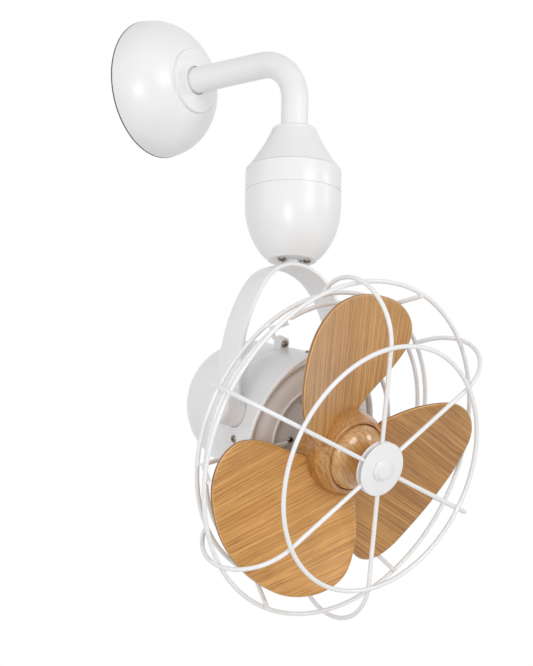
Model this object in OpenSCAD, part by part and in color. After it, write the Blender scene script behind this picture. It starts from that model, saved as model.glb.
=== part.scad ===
/* [Wall mounting] */
// Radius of the canopy at the wall
canopy_r = 74; // [68:0.5:84]
// How far the canopy stands out from its gasket
canopy_depth = 51; // [46:0.5:55]
// Depth the canopy's ellipse would have if it ran on to its nose
canopy_bulge = 60; // [58:0.5:70]
// Thickness of the dark gasket between canopy and wall
gasket_t = 1.5; // [1:0.1:3]
// Radius of the collar disc in front of the canopy
collar_r = 34.6; // [30:0.1:38]
// Thickness of the collar disc
collar_t = 4; // [3:0.1:6]
// Distance between the two wall screws
slot_spacing = 88.9; // [84:0.1:94]
// Width of the wall screw slots
slot_w = 5.2; // [4:0.1:6]
// Length of the wall screw slots
slot_l = 10; // [8:0.1:12]
// Width of the wall bracket
bracket_w = 34; // [32:0.5:44]
// Thickness of the wall bracket
bracket_t = 2.5; // [2:0.1:4]
// Length of the socket that holds the arm on the bracket
socket_l = 24; // [16:0.5:28]

/* [Arm] */
// Radius of the arm tube
pipe_r = 14; // [12:0.1:15]
// Wall of the arm tube
pipe_wall = 2; // [1.5:0.1:3]
// Distance from the wall to the swivel axis
arm_reach = 187; // [170:1:230]
// Radius of the bend along the tube's middle
bend_r = 45; // [40:1:50]

/* [Housing] */
// How far the housing's top lies below the arm's axis
cap_drop = 76.5; // [70:0.5:100]
// Radius of the cap at its shoulder
shoulder_r = 23.5; // [21:0.1:26]
// Radius of the rounding round the cap's top
shoulder_round = 3.5; // [2:0.1:4]
// Height of the cap
cap_h = 44.9; // [42:0.1:56]
// Radius of the housing's band
housing_r = 49.2; // [48:0.1:56]
// How far the cap's lower rim stays inside the band
seam_step = 0.6; // [0.2:0.1:1]
// Height of the band
band_h = 24.2; // [22:0.1:30]
// Height of the straight part of the lower shell
shell_straight = 12.4; // [8:0.1:16]
// Height of the curved part of the lower shell
shell_curve = 59.5; // [56:0.1:62]
// Height the shell's ellipse would have if it ran on to its nose
shell_bulge = 67.5; // [65:0.1:72]
// Wall of the canopy and of the housing
wall = 2.5; // [2:0.1:3]

/* [Swivel drive] */
// Radius of the swivel shaft
swivel_r = 6; // [5:0.1:6.5]
// Radius of the shaft's collar that shows under the housing
swivel_collar_r = 8.75; // [8.2:0.05:9.5]
// Tooth module of the gear pair
gear_m = 1; // [0.9:0.05:1.05]
// Teeth of the gear on the swivel shaft
gear_teeth = 48; // [46:2:48]
// Teeth of the pinion
pinion_teeth = 16; // [16:2:18]
// Face width of the gears
gear_t = 9; // [7:0.5:12]
// Radius of the gearmotor's can
gearmotor_r = 14.5; // [12:0.1:14.6]
// Height of the gearmotor's can
gearmotor_h = 22; // [18:0.5:26]
// Distance of the bottom screws from the swivel axis
bottom_screw_pos = 15.5; // [14.6:0.1:16]

/* [Yoke] */
// Gap between the housing and the top of the arch
yoke_gap = 4.5; // [4:0.1:8]
// Radius of the arch's crown along its middle
arch_r = 64; // [56:1:76]
// Angle that the crown covers on each side
arch_angle = 55; // [48:1:60]
// Distance from the fan's middle to the middle of an arm
yoke_half = 86; // [85:0.5:96]
// Width of the yoke's strip
yoke_w = 30; // [28:0.5:34]
// Thickness of the yoke's strip
yoke_t = 4; // [3:0.1:5]
// Distance from the top of the arch to the tilt axis
yoke_drop = 164; // [160:1:180]
// Radius of the pivot bosses
boss_r = 15; // [13:0.1:15.5]
// Length of the pivot caps outside the arms
boss_out = 14; // [12:0.5:26]
// Radius of the pivot bolts
bolt_r = 5; // [4:0.1:6]

/* [Motor] */
// Radius of the dome behind the motor
dome_r = 66; // [64:0.1:67]
// Distance from the tilt axis back to the dome's centre
dome_back = 59; // [57:0.5:66]
// Radius of the casing at the seam
seam_r = 72; // [71:0.1:73]
// Distance from the tilt axis back to the seam
seam_back = 26; // [25:0.5:30]
// Radius of the casing at its front rim
rim_r = 81; // [79:0.1:83]
// Distance from the tilt axis forward to the rim
rim_front = 36; // [35:0.5:38]
// Wall of the motor's casing
motor_wall = 3; // [2.5:0.1:3.5]
// Distance from the fan's middle to the pads that the bosses meet
pad_w = 70; // [68:0.5:71]
// Radius of the lip round the recessed face
face_lip_r = 51; // [48:0.5:54]
// Radius of the bearing cover
cover_r = 30; // [28:0.1:31]
// Radius of the motor's shaft
shaft_r = 6; // [5:0.1:6.5]
// Outer radius of the motor's bearings
bearing_r = 13; // [12:0.1:14]
// Outer radius of the stator
stator_r = 60; // [57:0.5:61]
// Radius of the rotor's core
core_r = 31.5; // [28:0.5:33]

/* [Guard] */
// Radius of the guard's wires
wire_r = 2.25; // [2:0.05:2.5]
// Number of front spokes
spokes = 6; // [6:1:6]
// Turn of the first spoke round the fan's axis
spoke_turn = 50; // [40:1:60]
// Distance from the tilt axis forward to the spokes' front run
guard_front = 136.5; // [134:0.5:142]
// Radius where the spokes' arcs have their centre
spoke_arc_pos = 122; // [119:0.5:126]
// Radius of the spokes' arcs
spoke_arc_r = 54.5; // [52:0.5:57]
// Angle that the spokes' arcs cover
spoke_sweep = 151; // [148:1:156]
// Radius of the front ring
front_ring_r = 125; // [118:0.5:130]
// Direction of the large ring from the arc's centre
large_ring_dir = 92.3; // [89:0.1:96]
// Direction of the rear ring from the arc's centre
rear_ring_dir = 148; // [145:0.5:149]
// Gap between the rear ring and the inner rear ring
rear_ring_gap = 10.5; // [8:0.5:14]
// Radius of the ring round the motor's face
face_ring_r = 92; // [88:0.5:98]
// Radius where the long rods end on the motor's face
rod_end_r = 37; // [35.5:0.5:42]
// Radius where the short rods end
stub_end_r = 133; // [130:0.5:135]
// Radius of the rods' elbows along the wire's middle
elbow_r = 9; // [7:0.5:12]
// Radius of the two discs at the guard's centre
disc_r = 27.2; // [24:0.1:32]
// Thickness of each disc
disc_t = 1.6; // [1.2:0.1:2.4]
// Radius of the knob at the guard's centre
knob_r = 10; // [8:0.1:14]

/* [Rotor] */
// Radius of the wooden hub
hub_r = 43; // [41:0.1:45]
// Distance from the tilt axis forward to the hub's back
hub_back = 62; // [61:0.5:64]
// Length of the hub
hub_l = 41; // [39:0.5:44]
// Radius of the hub at its front edge
hub_front_r = 38.5; // [37:0.1:40]
// Radius of the wooden cap
cap_r = 33.4; // [31:0.1:34]
// How far the cap's dome stands out
cap_dome = 17; // [12:0.5:20]
// Radius of the dark collar behind the hub
shaft_collar_r = 11; // [9:0.1:13]
// Number of blades
blades = 3; // [3:1:3]
// Turn of the first blade round the fan's axis
blade_turn = 114.75; // [100:0.25:130]
// Radius of the circle that the blades' tips sweep
sweep_r = 158; // [150:0.5:159]
// Thickness of a blade
blade_t = 5.5; // [4:0.1:6]
// Height of a blade's middle line above the hub's back
blade_rise = 18.7; // [17:0.1:21]
// Slope of a blade at its middle line
blade_slope = 0.292; // [0.26:0.001:0.31]
// Hollow of a blade, as height gained per square of its width
blade_hollow = 0.0019; // [0.0016:0.0001:0.002]

/* [Rest pose] */
// Turn of the head to one side
pan_rest = -7; // [-30:1:30]
// How far the fan's axis points below level
nose_down = 26; // [5:1:60]

/* [Fits] */
// Radial clearance of what turns
run_fit = 0.05; // [0.02:0.01:0.08]
// Radial clearance of what is seated
seat_fit = 0.02; // [0.01:0.01:0.05]
// Clearance between faces that move past each other
face_gap = 0.3; // [0.2:0.05:0.5]
// How far welded wires sink into each other
weld = 0.3; // [0.1:0.05:0.6]

/* [Hidden] */
$fn = 64;

white = "#e9e9e6";
shade = "#cfccc8";
steel = "#9b9b98";
dark = "#4a4a4c";
oak = "#b98a55";
walnut = "#b57b3f";

// Places along the wall axis, counted from the wall outwards
canopy_front = gasket_t + canopy_depth;
collar_hole_r = pipe_r + 1.6;
socket_r = pipe_r + 5;
nut_t = 7;
nut_flats = 2 * pipe_r + 10;
bracket_l = slot_spacing + slot_l + 14;
cable_hole_r = 9;

// Places along the swivel axis, counted downwards as negative heights
cap_top = -cap_drop;
shoulder_z = cap_top - shoulder_round;
cap_bottom = cap_top - cap_h;
band_bottom = cap_bottom - band_h;
curve_top = band_bottom - shell_straight;
shell_bottom = curve_top - shell_curve;
arch_top = shell_bottom - yoke_gap;
pivot_z = arch_top - yoke_drop;
neck_r = pipe_r + 4;
neck_l = 22;
neck_end = cap_top - neck_l;
cap_rim_r = housing_r - seam_step;
sleeve_overlap = 4.5;
floor_t = 2.6;
floor_z = shell_bottom + floor_t;

// Inner frame: a plate for the gearmotor and a flange for the lower bush
plate_z = curve_top;
plate_t = 3.5;
pipe_end = neck_end - plate_t - nut_t - 1;
plate_r = housing_r - wall - 1.7;
flange_rise = 9.9;
flange_z = floor_z + flange_rise;
flange_t = 2.5;
flange_r = shell_r_at(flange_z) - wall - 1;
core_boss_r = 20;
bottom_shank_r = 2;
leg_r = 2.4;
leg_pos = flange_r - leg_r - 0.6;
upper_leg_r = 3;
upper_leg_pos = 26;

// Gears
centre_distance = gear_m * (gear_teeth + pinion_teeth) / 2;
gear_top = plate_z - plate_t - 4.5;
pinion_shaft_r = 2.5;
pressure_angle = 20;
backlash = 0.1;
gear_hub_r = 10;
gear_hub_t = 3;

// Swivel shaft and what it carries
bush_wall = 3;
bush_r = swivel_r + bush_wall;
bush_flange_r = 11.5;
bush_flange_t = 2;
bush_top = plate_z + bush_flange_t;
washer_t = 1.2;
ring_t = 1.2;
washer_z = bush_top + face_gap;
ring_z = washer_z + washer_t;
groove_depth = 1;
shaft_top = ring_z + ring_t + 2.5;
thrust_z = floor_z - face_gap;
stud_r = 5;

// Yoke
arch_r2 = (yoke_half - arch_r * sin(arch_angle)) / (1 - sin(arch_angle));
arch_centre_z = arch_top - yoke_t / 2 - arch_r;
side_centre_x = -(arch_r2 - arch_r) * sin(arch_angle);
side_centre_z = arch_centre_z - (arch_r2 - arch_r) * cos(arch_angle);
arm_in = yoke_half - yoke_t / 2;
arm_out = yoke_half + yoke_t / 2;
arm_end_l = 20;
cap_wall = 2;
friction_t = 1.5;
bolt_head_t = 5;
bolt_head_r = 8;
bolt_inner = pad_w - 14;

// Motor, counted along the fan's axis from the tilt axis
flare = (rim_r - seam_r) / (rim_front + seam_back);
ledge_front = rim_front - 16;
ledge_t = 6;
ledge_r = 68;
face_t = 3;
face_flat = rim_front - 6;
face_peak = rim_front + 2.2;
cover_t = 2.4;
cup_wall = 4;
bearing_t = 10;
front_bearing_back = face_flat - cover_t - bearing_t;
rear_bearing_back = -dome_back - 36;
sleeve_r = 10.5;
sleeve_front = face_flat + 9;
stator_l = 20;
stator_back = -dome_back + 3;
rim_round = 1.6;
casing_head_r = 3.8;
casing_head_h = 2.2;
casing_shank_r = 2;
screw_clear = 0.1;
lug_r = 5;
lug_l = 9;
lug_pos = seam_r + flare * (lug_l + casing_head_h) + casing_head_r + face_gap;
lug_turns = [107, 287];
radial_turns = [20, 100, 200, 280];
radial_front = 6;
radial_head_r = 4;
radial_shank_r = 2;
outer_screw_pos = 38;
inner_screw_pos = 24;
outer_screw_turn = 127;
inner_screw_turn = 206;

// Guard
weld_pitch = 2 * wire_r - weld;
arc_centre_a = guard_front - spoke_arc_r;
ring_reach = spoke_arc_r - weld_pitch;
large_ring_r = spoke_arc_pos + ring_reach * sin(large_ring_dir);
large_ring_a = arc_centre_a + ring_reach * cos(large_ring_dir);
rear_ring_r = spoke_arc_pos + ring_reach * sin(rear_ring_dir);
rear_ring_a = arc_centre_a + ring_reach * cos(rear_ring_dir);
inner_rear_ring_r = rear_ring_r - rear_ring_gap;
rod_a = rear_ring_a + weld_pitch;
rod_seat_r = face_lip_r + 1.5;
rod_seat_a = face_peak + wire_r - weld;
elbow_pos = rear_ring_r - 3.5;
rod_slope = atan2(rod_a - rod_seat_a, elbow_pos - rod_seat_r);
strut_dr = large_ring_r - elbow_pos;
strut_da = large_ring_a - rod_a;
strut_span = norm([strut_dr, strut_da]);
strut_dir = atan2(strut_da, strut_dr) + asin(weld_pitch / strut_span);
strut_l = sqrt(pow(strut_span, 2) - pow(weld_pitch, 2)) + 3;
long_turns = [80, 200, 320];
short_turns = [20, 140, 260];
disc_gap = 0.02;
spoke_start = 5.5;
knob_stem_r = 2.5;
joint_step = 0.02;
joint_in = 0.4;

// Rotor
hub_front = hub_back + hub_l;
cap_seat = hub_front - 7;
cap_groove = 0.8;
hub_bore_r = 14;
nut_r = 9;
shaft_front = cap_seat + 2;
core_flange_r = 28;
core_flange_t = 3;
blade_a = hub_back + blade_rise;
tongue_in = 33;
tongue_w = 26;
tongue_t = 3.6;
tongue_s = 8;
blade_screw_pos = 38;

// Outline of one blade, as distance along its middle line and to its side
blade_outline = [[30, -14], [46, -42], [62, -70], [84, -93], [108, -96], [131, -80], [147, -50],
    [156, -16], [155, 22], [140, 58], [112, 79], [80, 84], [50, 71], [29, 52], [19, 34]];
outline_steps = 4;
blade_centre = [92, -4];
blade_rings = [1, 0.985, 0.955, 0.75, 0.5, 0.25];
blade_edge = [0, 0.72, 1, 1, 1, 1];

function shell_r_at(z) = z > curve_top ? housing_r
    : housing_r * sqrt(1 - pow((curve_top - z) / shell_bulge, 2));
function motor_r(a) = seam_r + flare * (a + seam_back);
function blade_height(s) = blade_slope * s + blade_hollow * s * s;
function blade_tilt(s) = blade_slope + 2 * blade_hollow * s;

// A smooth closed curve through a list of points
function curve_point(p, i, t) =
    let (n = len(p), a = p[(i + n - 1) % n], b = p[i], c = p[(i + 1) % n], d = p[(i + 2) % n])
    0.5 * (2 * b + (c - a) * t + (2 * a - 5 * b + 4 * c - d) * t * t
        + (3 * b - a - 3 * c + d) * t * t * t);
function closed_curve(p, steps) = [for (i = [0 : len(p) - 1], k = [0 : steps - 1])
    curve_point(p, i, k / steps)];

// Involute teeth
function involute(base, r) = r <= base ? 0 : tan(acos(base / r)) * 180 / PI - acos(base / r);
function half_tooth(teeth, r) =
    let (pitch = gear_m * teeth / 2, base = pitch * cos(pressure_angle))
    90 / teeth - backlash / pitch * 90 / PI + involute(base, pitch) - involute(base, r);
function tooth_radii(teeth) =
    let (pitch = gear_m * teeth / 2)
    [pitch - 1.2 * gear_m, pitch * cos(pressure_angle), pitch, pitch + 0.5 * gear_m,
        pitch + 0.9 * gear_m];
function polar(r, angle) = [r * cos(angle), r * sin(angle)];
function gear_points(teeth) =
    let (radii = tooth_radii(teeth), last = len(radii) - 1)
    [for (i = [0 : teeth - 1], k = [0 : 2 * last + 1])
        let (r = radii[k <= last ? k : 2 * last + 1 - k], side = k <= last ? -1 : 1)
        polar(r, i * 360 / teeth + side * half_tooth(teeth, r))];

// Frames of the moving bodies
module on_wall() {
    rotate([90, 0, 0]) children();
}

module on_swivel() {
    translate([0, -arm_reach, 0]) children();
}

module yoke_frame() {
    on_swivel() rotate([0, 0, pan_rest]) children();
}

module head_frame() {
    translate([0, -arm_reach, pivot_z]) rotate([0, 0, pan_rest]) rotate([90 + nose_down, 0, 0])
        children();
}

// Children are copied to both ends of the tilt axis, with their own axis pointing outwards
module both_pivots() {
    for (side = [0, 180]) {
        rotate([0, 0, side]) rotate([0, 90, 0]) children();
    }
}

module tube(r_out, r_in, h) {
    difference() {
        cylinder(r = r_out, h = h);
        translate([0, 0, -1]) cylinder(r = r_in, h = h + 2);
    }
}

// A cross-recess screw whose head stands on the plane at zero, with its shank below
module pan_screw(head_r, head_h, shank_r, shank_l) {
    difference() {
        union() {
            rotate_extrude() polygon([[0, 0], [head_r, 0], [head_r, 0.4 * head_h],
                [0.9 * head_r, 0.75 * head_h], [0.6 * head_r, head_h], [0, head_h]]);
            translate([0, 0, -shank_l]) cylinder(r = shank_r, h = shank_l);
        }
        for (turn = [0, 90]) {
            rotate([0, 0, turn]) translate([-0.6 * head_r, -0.14 * head_r, 0.45 * head_h])
                cube([1.2 * head_r, 0.28 * head_r, head_h]);
        }
    }
}

module grub_screw(r, l) {
    difference() {
        cylinder(r = r, h = l);
        translate([0, 0, l - r]) cylinder(r = 0.55 * r, h = r + 1, $fn = 6);
    }
}

// Wall mounting
module canopy_gasket() {
    color(dark) on_wall() tube(canopy_r + 0.3, canopy_r - 4, gasket_t);
}

module wall_bracket() {
    color(steel) on_wall() difference() {
        union() {
            translate([-bracket_l / 2 + bracket_w / 2, -bracket_w / 2, 0])
                cube([bracket_l - bracket_w, bracket_w, bracket_t]);
            for (side = [-1, 1]) {
                translate([side * (bracket_l - bracket_w) / 2, 0, 0])
                    cylinder(r = bracket_w / 2, h = bracket_t);
            }
            cylinder(r = socket_r, h = bracket_t + socket_l);
        }
        translate([0, 0, -1]) cylinder(r = cable_hole_r, h = bracket_t + 2);
        translate([0, 0, bracket_t]) cylinder(r = pipe_r + seat_fit, h = socket_l + 1);
        for (side = [-1, 1]) {
            translate([side * slot_spacing / 2, 0, -1]) wall_slot(bracket_t + 2);
        }
        translate([0, pipe_r - 1, bracket_t + socket_l / 2]) rotate([-90, 0, 0])
            cylinder(r = 2 + seat_fit, h = 8);
    }
}

module wall_slot(h) {
    for (end = [-1, 1]) {
        translate([end * (slot_l - slot_w) / 2, 0, 0]) cylinder(r = slot_w / 2, h = h);
    }
    translate([-(slot_l - slot_w) / 2, -slot_w / 2, 0]) cube([slot_l - slot_w, slot_w, h]);
}

module terminal_block() {
    block = [14, 28, 12];
    color("#3b3b3d") on_wall() translate([socket_r + 2, -block[1] / 2, bracket_t]) difference() {
        cube(block);
        for (k = [0 : 2]) {
            translate([block[0] / 2, 5 + 9 * k, block[2] - 6]) cylinder(r = 2.2, h = 7);
        }
    }
}

module canopy() {
    inner_r = canopy_r - wall;
    inner_bulge = canopy_bulge - wall;
    inner_depth = canopy_depth - wall;
    steps = 20;
    outer = [for (k = [0 : steps])
        let (d = canopy_depth * sin(90 * k / steps))
        [canopy_r * sqrt(1 - pow(d / canopy_bulge, 2)), d]];
    inner = [for (k = [steps : -1 : 0])
        let (d = inner_depth * sin(90 * k / steps))
        [inner_r * sqrt(1 - pow(d / inner_bulge, 2)), d]];
    color(white) on_wall() translate([0, 0, gasket_t]) rotate_extrude() polygon(concat(outer,
        [[collar_hole_r, canopy_depth], [collar_hole_r, inner_depth]], inner));
}

module canopy_collar() {
    seat_t = collar_t / 2;
    round_r = 0.8;
    color(white) on_wall() translate([0, 0, canopy_front]) difference() {
        rotate_extrude() polygon([[pipe_r + seat_fit, 0], [collar_r, 0], [collar_r, collar_t - round_r],
            [collar_r - 0.3 * round_r, collar_t - 0.3 * round_r], [collar_r - round_r, collar_t],
            [collar_hole_r, collar_t], [collar_hole_r, seat_t], [pipe_r + seat_fit, seat_t]]);
        translate([0, 0, seat_t]) rotate([90, 0, 0]) cylinder(r = 1.5 + seat_fit, h = collar_r + 1);
    }
}

module grub_screws() {
    color(steel) on_wall() {
        translate([0, pipe_r + seat_fit, bracket_t + socket_l / 2]) rotate([-90, 0, 0])
            grub_screw(2, socket_r - pipe_r - 0.5);
        translate([0, -pipe_r - seat_fit, canopy_front + collar_t / 2]) rotate([90, 0, 0])
            grub_screw(1.5, collar_r - pipe_r - 3);
    }
}

// Arm
module arm_run(r, past) {
    straight = arm_reach - bend_r - bracket_t;
    translate([0, -bracket_t + past, 0]) rotate([90, 0, 0]) cylinder(r = r, h = straight + past);
    translate([0, bend_r - arm_reach, -bend_r]) rotate([0, -90, 180]) rotate_extrude(angle = 90)
        translate([bend_r, 0]) circle(r);
    translate([0, -arm_reach, pipe_end - past]) cylinder(r = r, h = past - pipe_end - bend_r);
}

module arm_pipe() {
    color(white) difference() {
        arm_run(pipe_r, 0);
        arm_run(pipe_r - pipe_wall, 1);
    }
}

module lock_nut() {
    difference() {
        cylinder(r = nut_flats / sqrt(3), h = nut_t, $fn = 6);
        translate([0, 0, -1]) cylinder(r = pipe_r + seat_fit, h = nut_t + 2);
    }
}

module pipe_lock_nuts() {
    color(steel) {
        on_wall() translate([0, 0, bracket_t + socket_l]) lock_nut();
        on_swivel() translate([0, 0, neck_end - plate_t - nut_t]) lock_nut();
    }
}

// Housing
function cap_flare(u, r_end) = shoulder_r + (r_end - shoulder_r) * (0.72 * u + 0.28 * u * u);

module housing_cap() {
    steps = 10;
    inner_top = shoulder_z - 2.5;
    flare_h = shoulder_z - cap_bottom;
    round_steps = 5;
    shoulder = [for (k = [0 : round_steps])
        let (t = 90 * k / round_steps)
        [shoulder_r - shoulder_round + shoulder_round * sin(t),
            shoulder_z + shoulder_round * cos(t)]];
    outer = [for (k = [1 : steps])
        [cap_flare(k / steps, cap_rim_r), shoulder_z - flare_h * k / steps]];
    inner = [for (k = [steps : -1 : 1])
        let (z = inner_top - (inner_top - cap_bottom) * k / steps)
        [cap_flare((shoulder_z - z) / flare_h, cap_rim_r) - wall, z]];
    color(white) on_swivel() rotate_extrude() polygon(concat(
        [[pipe_r + seat_fit, cap_top]], shoulder, outer, inner,
        [[neck_r + 0.5, inner_top], [neck_r, inner_top - 0.5], [neck_r, neck_end],
            [pipe_r + seat_fit, neck_end]]));
}

module housing_band() {
    inner_r = housing_r - wall;
    sleeve_in = inner_r - 2;
    color(white) on_swivel() rotate_extrude() polygon([[inner_r - 1.2, cap_bottom], [housing_r, cap_bottom],
        [housing_r, band_bottom], [inner_r - seat_fit, band_bottom],
        [inner_r - seat_fit, band_bottom - sleeve_overlap], [sleeve_in, band_bottom - sleeve_overlap],
        [sleeve_in, cap_bottom - 4]]);
}

module housing_shell() {
    steps = 16;
    corner = 1.6;
    end_r = shell_r_at(shell_bottom + corner);
    outer = [for (k = [0 : steps])
        let (z = curve_top - (shell_curve - corner) * sin(90 * k / steps))
        [shell_r_at(z), z]];
    inner = [for (k = [steps : -1 : 0])
        let (z = curve_top - (shell_curve - floor_t) * sin(90 * k / steps))
        [shell_r_at(z) - wall, z]];
    color(white) on_swivel() difference() {
        rotate_extrude() polygon(concat([[housing_r, band_bottom]], outer,
            [[end_r - 0.7 * corner, shell_bottom + 0.35 * corner], [end_r - 2 * corner, shell_bottom],
                [swivel_collar_r + 1.6, shell_bottom], [swivel_collar_r + 1.6, floor_z]],
            inner, [[housing_r - wall, band_bottom]]));
        at_bottom_screws() translate([0, 0, shell_bottom - 1])
            cylinder(r = bottom_shank_r + screw_clear, h = floor_t + 2);
    }
}

module at_bottom_screws() {
    for (turn = [54, 174, 294]) {
        rotate([0, 0, turn]) translate([bottom_screw_pos, 0, 0]) children();
    }
}

module inner_frame() {
    color(steel) on_swivel() difference() {
        union() {
            translate([0, 0, neck_end - plate_t]) cylinder(r = upper_leg_pos + upper_leg_r + 0.8, h = plate_t);
            for (turn = [90, 180, 270]) {
                rotate([0, 0, turn]) translate([upper_leg_pos, 0, plate_z - 1])
                    cylinder(r = upper_leg_r, h = neck_end - plate_z);
            }
            translate([0, 0, plate_z - plate_t]) cylinder(r = plate_r, h = plate_t);
            translate([0, 0, plate_z - plate_t - 1.5]) cylinder(r = bush_r + 3, h = 3);
            for (turn = [60, 180, 300]) {
                rotate([0, 0, turn]) translate([leg_pos, 0, flange_z + flange_t / 2])
                    cylinder(r = leg_r, h = plate_z - plate_t / 2 - flange_z - flange_t / 2);
            }
            translate([0, 0, flange_z]) cylinder(r = flange_r, h = flange_t);
            translate([0, 0, floor_z]) cylinder(r = core_boss_r, h = flange_rise);
        }
        translate([0, 0, neck_end - plate_t - 1]) cylinder(r = pipe_r + seat_fit, h = plate_t + 2);
        translate([0, 0, plate_z - plate_t - 3]) cylinder(r = bush_r + seat_fit, h = plate_t + 4);
        translate([0, 0, floor_z - 1]) cylinder(r = bush_r + seat_fit, h = flange_rise + flange_t + 2);
        translate([centre_distance, 0, plate_z - plate_t - 1])
            cylinder(r = pinion_shaft_r + 1.5, h = plate_t + 2);
        at_bottom_screws() translate([0, 0, floor_z - 1])
            cylinder(r = bottom_shank_r + seat_fit, h = flange_rise);
        for (turn = [30, 150, 270]) {
            rotate([0, 0, turn]) translate([plate_r - 8, 0, plate_z - plate_t - 1])
                cylinder(r = 4, h = plate_t + 2);
        }
    }
}

module gearmotor() {
    can_x = plate_r - 1 - gearmotor_r - 1;
    color("#b8b6b0") on_swivel() difference() {
        union() {
            translate([can_x, 0, plate_z]) cylinder(r = gearmotor_r, h = gearmotor_h);
            translate([can_x, 0, plate_z + gearmotor_h]) cylinder(r = gearmotor_r - 2, h = 1.5);
            for (side = [-1, 1]) {
                translate([can_x - 4, side > 0 ? gearmotor_r - 2 : -gearmotor_r - 6, plate_z])
                    cube([8, 8, 1.5]);
            }
        }
        translate([centre_distance, 0, plate_z - 1]) cylinder(r = pinion_shaft_r + run_fit, h = 13);
    }
}

module lower_bush() {
    color("#a8783a") on_swivel() translate([0, 0, floor_z])
        tube(bush_r, swivel_r + run_fit, flange_rise + flange_t);
}

module upper_bush() {
    body_l = plate_t + 1.5;
    color("#a8783a") on_swivel() difference() {
        union() {
            translate([0, 0, plate_z - body_l]) cylinder(r = bush_r, h = body_l);
            translate([0, 0, plate_z]) cylinder(r = bush_flange_r, h = bush_flange_t);
        }
        translate([0, 0, plate_z - body_l - 1])
            cylinder(r = swivel_r + run_fit, h = body_l + bush_flange_t + 2);
    }
}

module bottom_screws() {
    color(steel) on_swivel() at_bottom_screws() translate([0, 0, shell_bottom]) rotate([180, 0, 0])
        pan_screw(4, 2.4, bottom_shank_r, floor_t + flange_rise - 2.5);
}

// Swivel drive
module drive_pinion() {
    tooth_pitch = 360 / pinion_teeth;
    color("#d8d2c0") on_swivel() translate([centre_distance, 0, 0]) {
        translate([0, 0, gear_top - gear_t]) rotate([0, 0, tooth_pitch / 2])
            linear_extrude(gear_t) polygon(gear_points(pinion_teeth));
        translate([0, 0, gear_top - 1]) cylinder(r = pinion_shaft_r, h = plate_z + 11 - gear_top);
    }
}

module swivel_shaft() {
    color(shade) yoke_frame() difference() {
        union() {
            translate([0, 0, arch_top - yoke_t + 0.2]) cylinder(r = stud_r, h = yoke_t);
            translate([0, 0, arch_top]) cylinder(r = swivel_collar_r, h = thrust_z - arch_top);
            translate([0, 0, thrust_z - 1]) cylinder(r = swivel_r, h = shaft_top - thrust_z + 1);
        }
        translate([0, 0, ring_z]) tube(swivel_r + 2, swivel_r - groove_depth, ring_t);
    }
}

module output_gear() {
    color("#d8d2c0") yoke_frame() rotate([0, 0, -pan_rest]) difference() {
        union() {
            translate([0, 0, gear_top - gear_t]) linear_extrude(gear_t) polygon(gear_points(gear_teeth));
            translate([0, 0, gear_top - gear_t - gear_hub_t]) cylinder(r = gear_hub_r, h = gear_hub_t + 1);
        }
        translate([0, 0, gear_top - gear_t - gear_hub_t - 1])
            cylinder(r = swivel_r + seat_fit, h = gear_t + gear_hub_t + 2);
    }
}

module thrust_washer() {
    color("#a8783a") yoke_frame() translate([0, 0, washer_z])
        tube(bush_flange_r - 0.5, swivel_r + seat_fit, washer_t);
}

module retaining_ring() {
    slit = 7;
    color(dark) yoke_frame() translate([0, 0, ring_z]) difference() {
        tube(swivel_r + 3, swivel_r - groove_depth + seat_fit, ring_t);
        translate([0, -slit / 2, -1]) cube([swivel_r + 5, slit, ring_t + 2]);
    }
}

// Yoke: a flat strip, drawn as its outline seen from the front
function arc_points(r, x, z, from, to, steps) = [for (k = [0 : steps])
    let (t = from + (to - from) * k / steps)
    [x + r * sin(t), z + r * cos(t)]];

// One edge of the strip from the crown down to the arm's end, on one side
function arch_edge(side) =
    let (h = side * yoke_t / 2,
        crown = arc_points(arch_r + h, 0, arch_centre_z, 0, arch_angle, 14),
        flank = arc_points(arch_r2 + h, side_centre_x, side_centre_z, arch_angle, 90, 12))
    concat(crown, [for (k = [1 : len(flank) - 1]) flank[k]], [[yoke_half + h, pivot_z + arm_end_l]]);

module arch_outline() {
    outer = arch_edge(1);
    inner = arch_edge(-1);
    last = len(outer) - 1;
    polygon(concat(outer, [for (k = [last : -1 : 0]) inner[k]],
        [for (k = [1 : last]) [-inner[k][0], inner[k][1]]],
        [for (k = [last : -1 : 1]) [-outer[k][0], outer[k][1]]]));
}

module yoke_arch() {
    color(white) yoke_frame() difference() {
        union() {
            translate([0, yoke_w / 2, 0]) rotate([90, 0, 0]) linear_extrude(yoke_w) arch_outline();
            for (x = [arm_in, -arm_out]) {
                translate([x, 0, pivot_z]) rotate([90, 0, 90]) linear_extrude(yoke_t) {
                    circle(yoke_w / 2);
                    translate([-yoke_w / 2, 0]) square([yoke_w, arm_end_l]);
                }
            }
        }
        translate([0, 0, arch_top - yoke_t - 1]) cylinder(r = stud_r + seat_fit, h = yoke_t + 2);
        translate([0, 0, pivot_z]) rotate([0, 90, 0]) translate([0, 0, -yoke_half - yoke_t])
            cylinder(r = bolt_r + run_fit, h = 2 * (yoke_half + yoke_t));
    }
}

module pivot_bosses() {
    start = pad_w + face_gap;
    color(white) yoke_frame() translate([0, 0, pivot_z]) both_pivots() translate([0, 0, start])
        tube(boss_r, bolt_r + run_fit, arm_in - start);
}

module pivot_caps() {
    round_r = 3;
    steps = 4;
    corner = [for (k = [0 : steps])
        let (t = 90 * k / steps)
        [boss_r - round_r + round_r * cos(t), boss_out - round_r + round_r * sin(t)]];
    color(white) yoke_frame() translate([0, 0, pivot_z]) both_pivots() translate([0, 0, arm_out])
        rotate_extrude() polygon(concat([[boss_r - cap_wall, 0], [boss_r, 0]], corner,
            [[0, boss_out], [0, boss_out - cap_wall - 1], [boss_r - cap_wall, boss_out - cap_wall - 1]]));
}

module friction_washers() {
    color(dark) yoke_frame() translate([0, 0, pivot_z]) both_pivots() translate([0, 0, arm_out])
        tube(bolt_head_r + 1.5, bolt_r + run_fit, friction_t);
}

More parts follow.
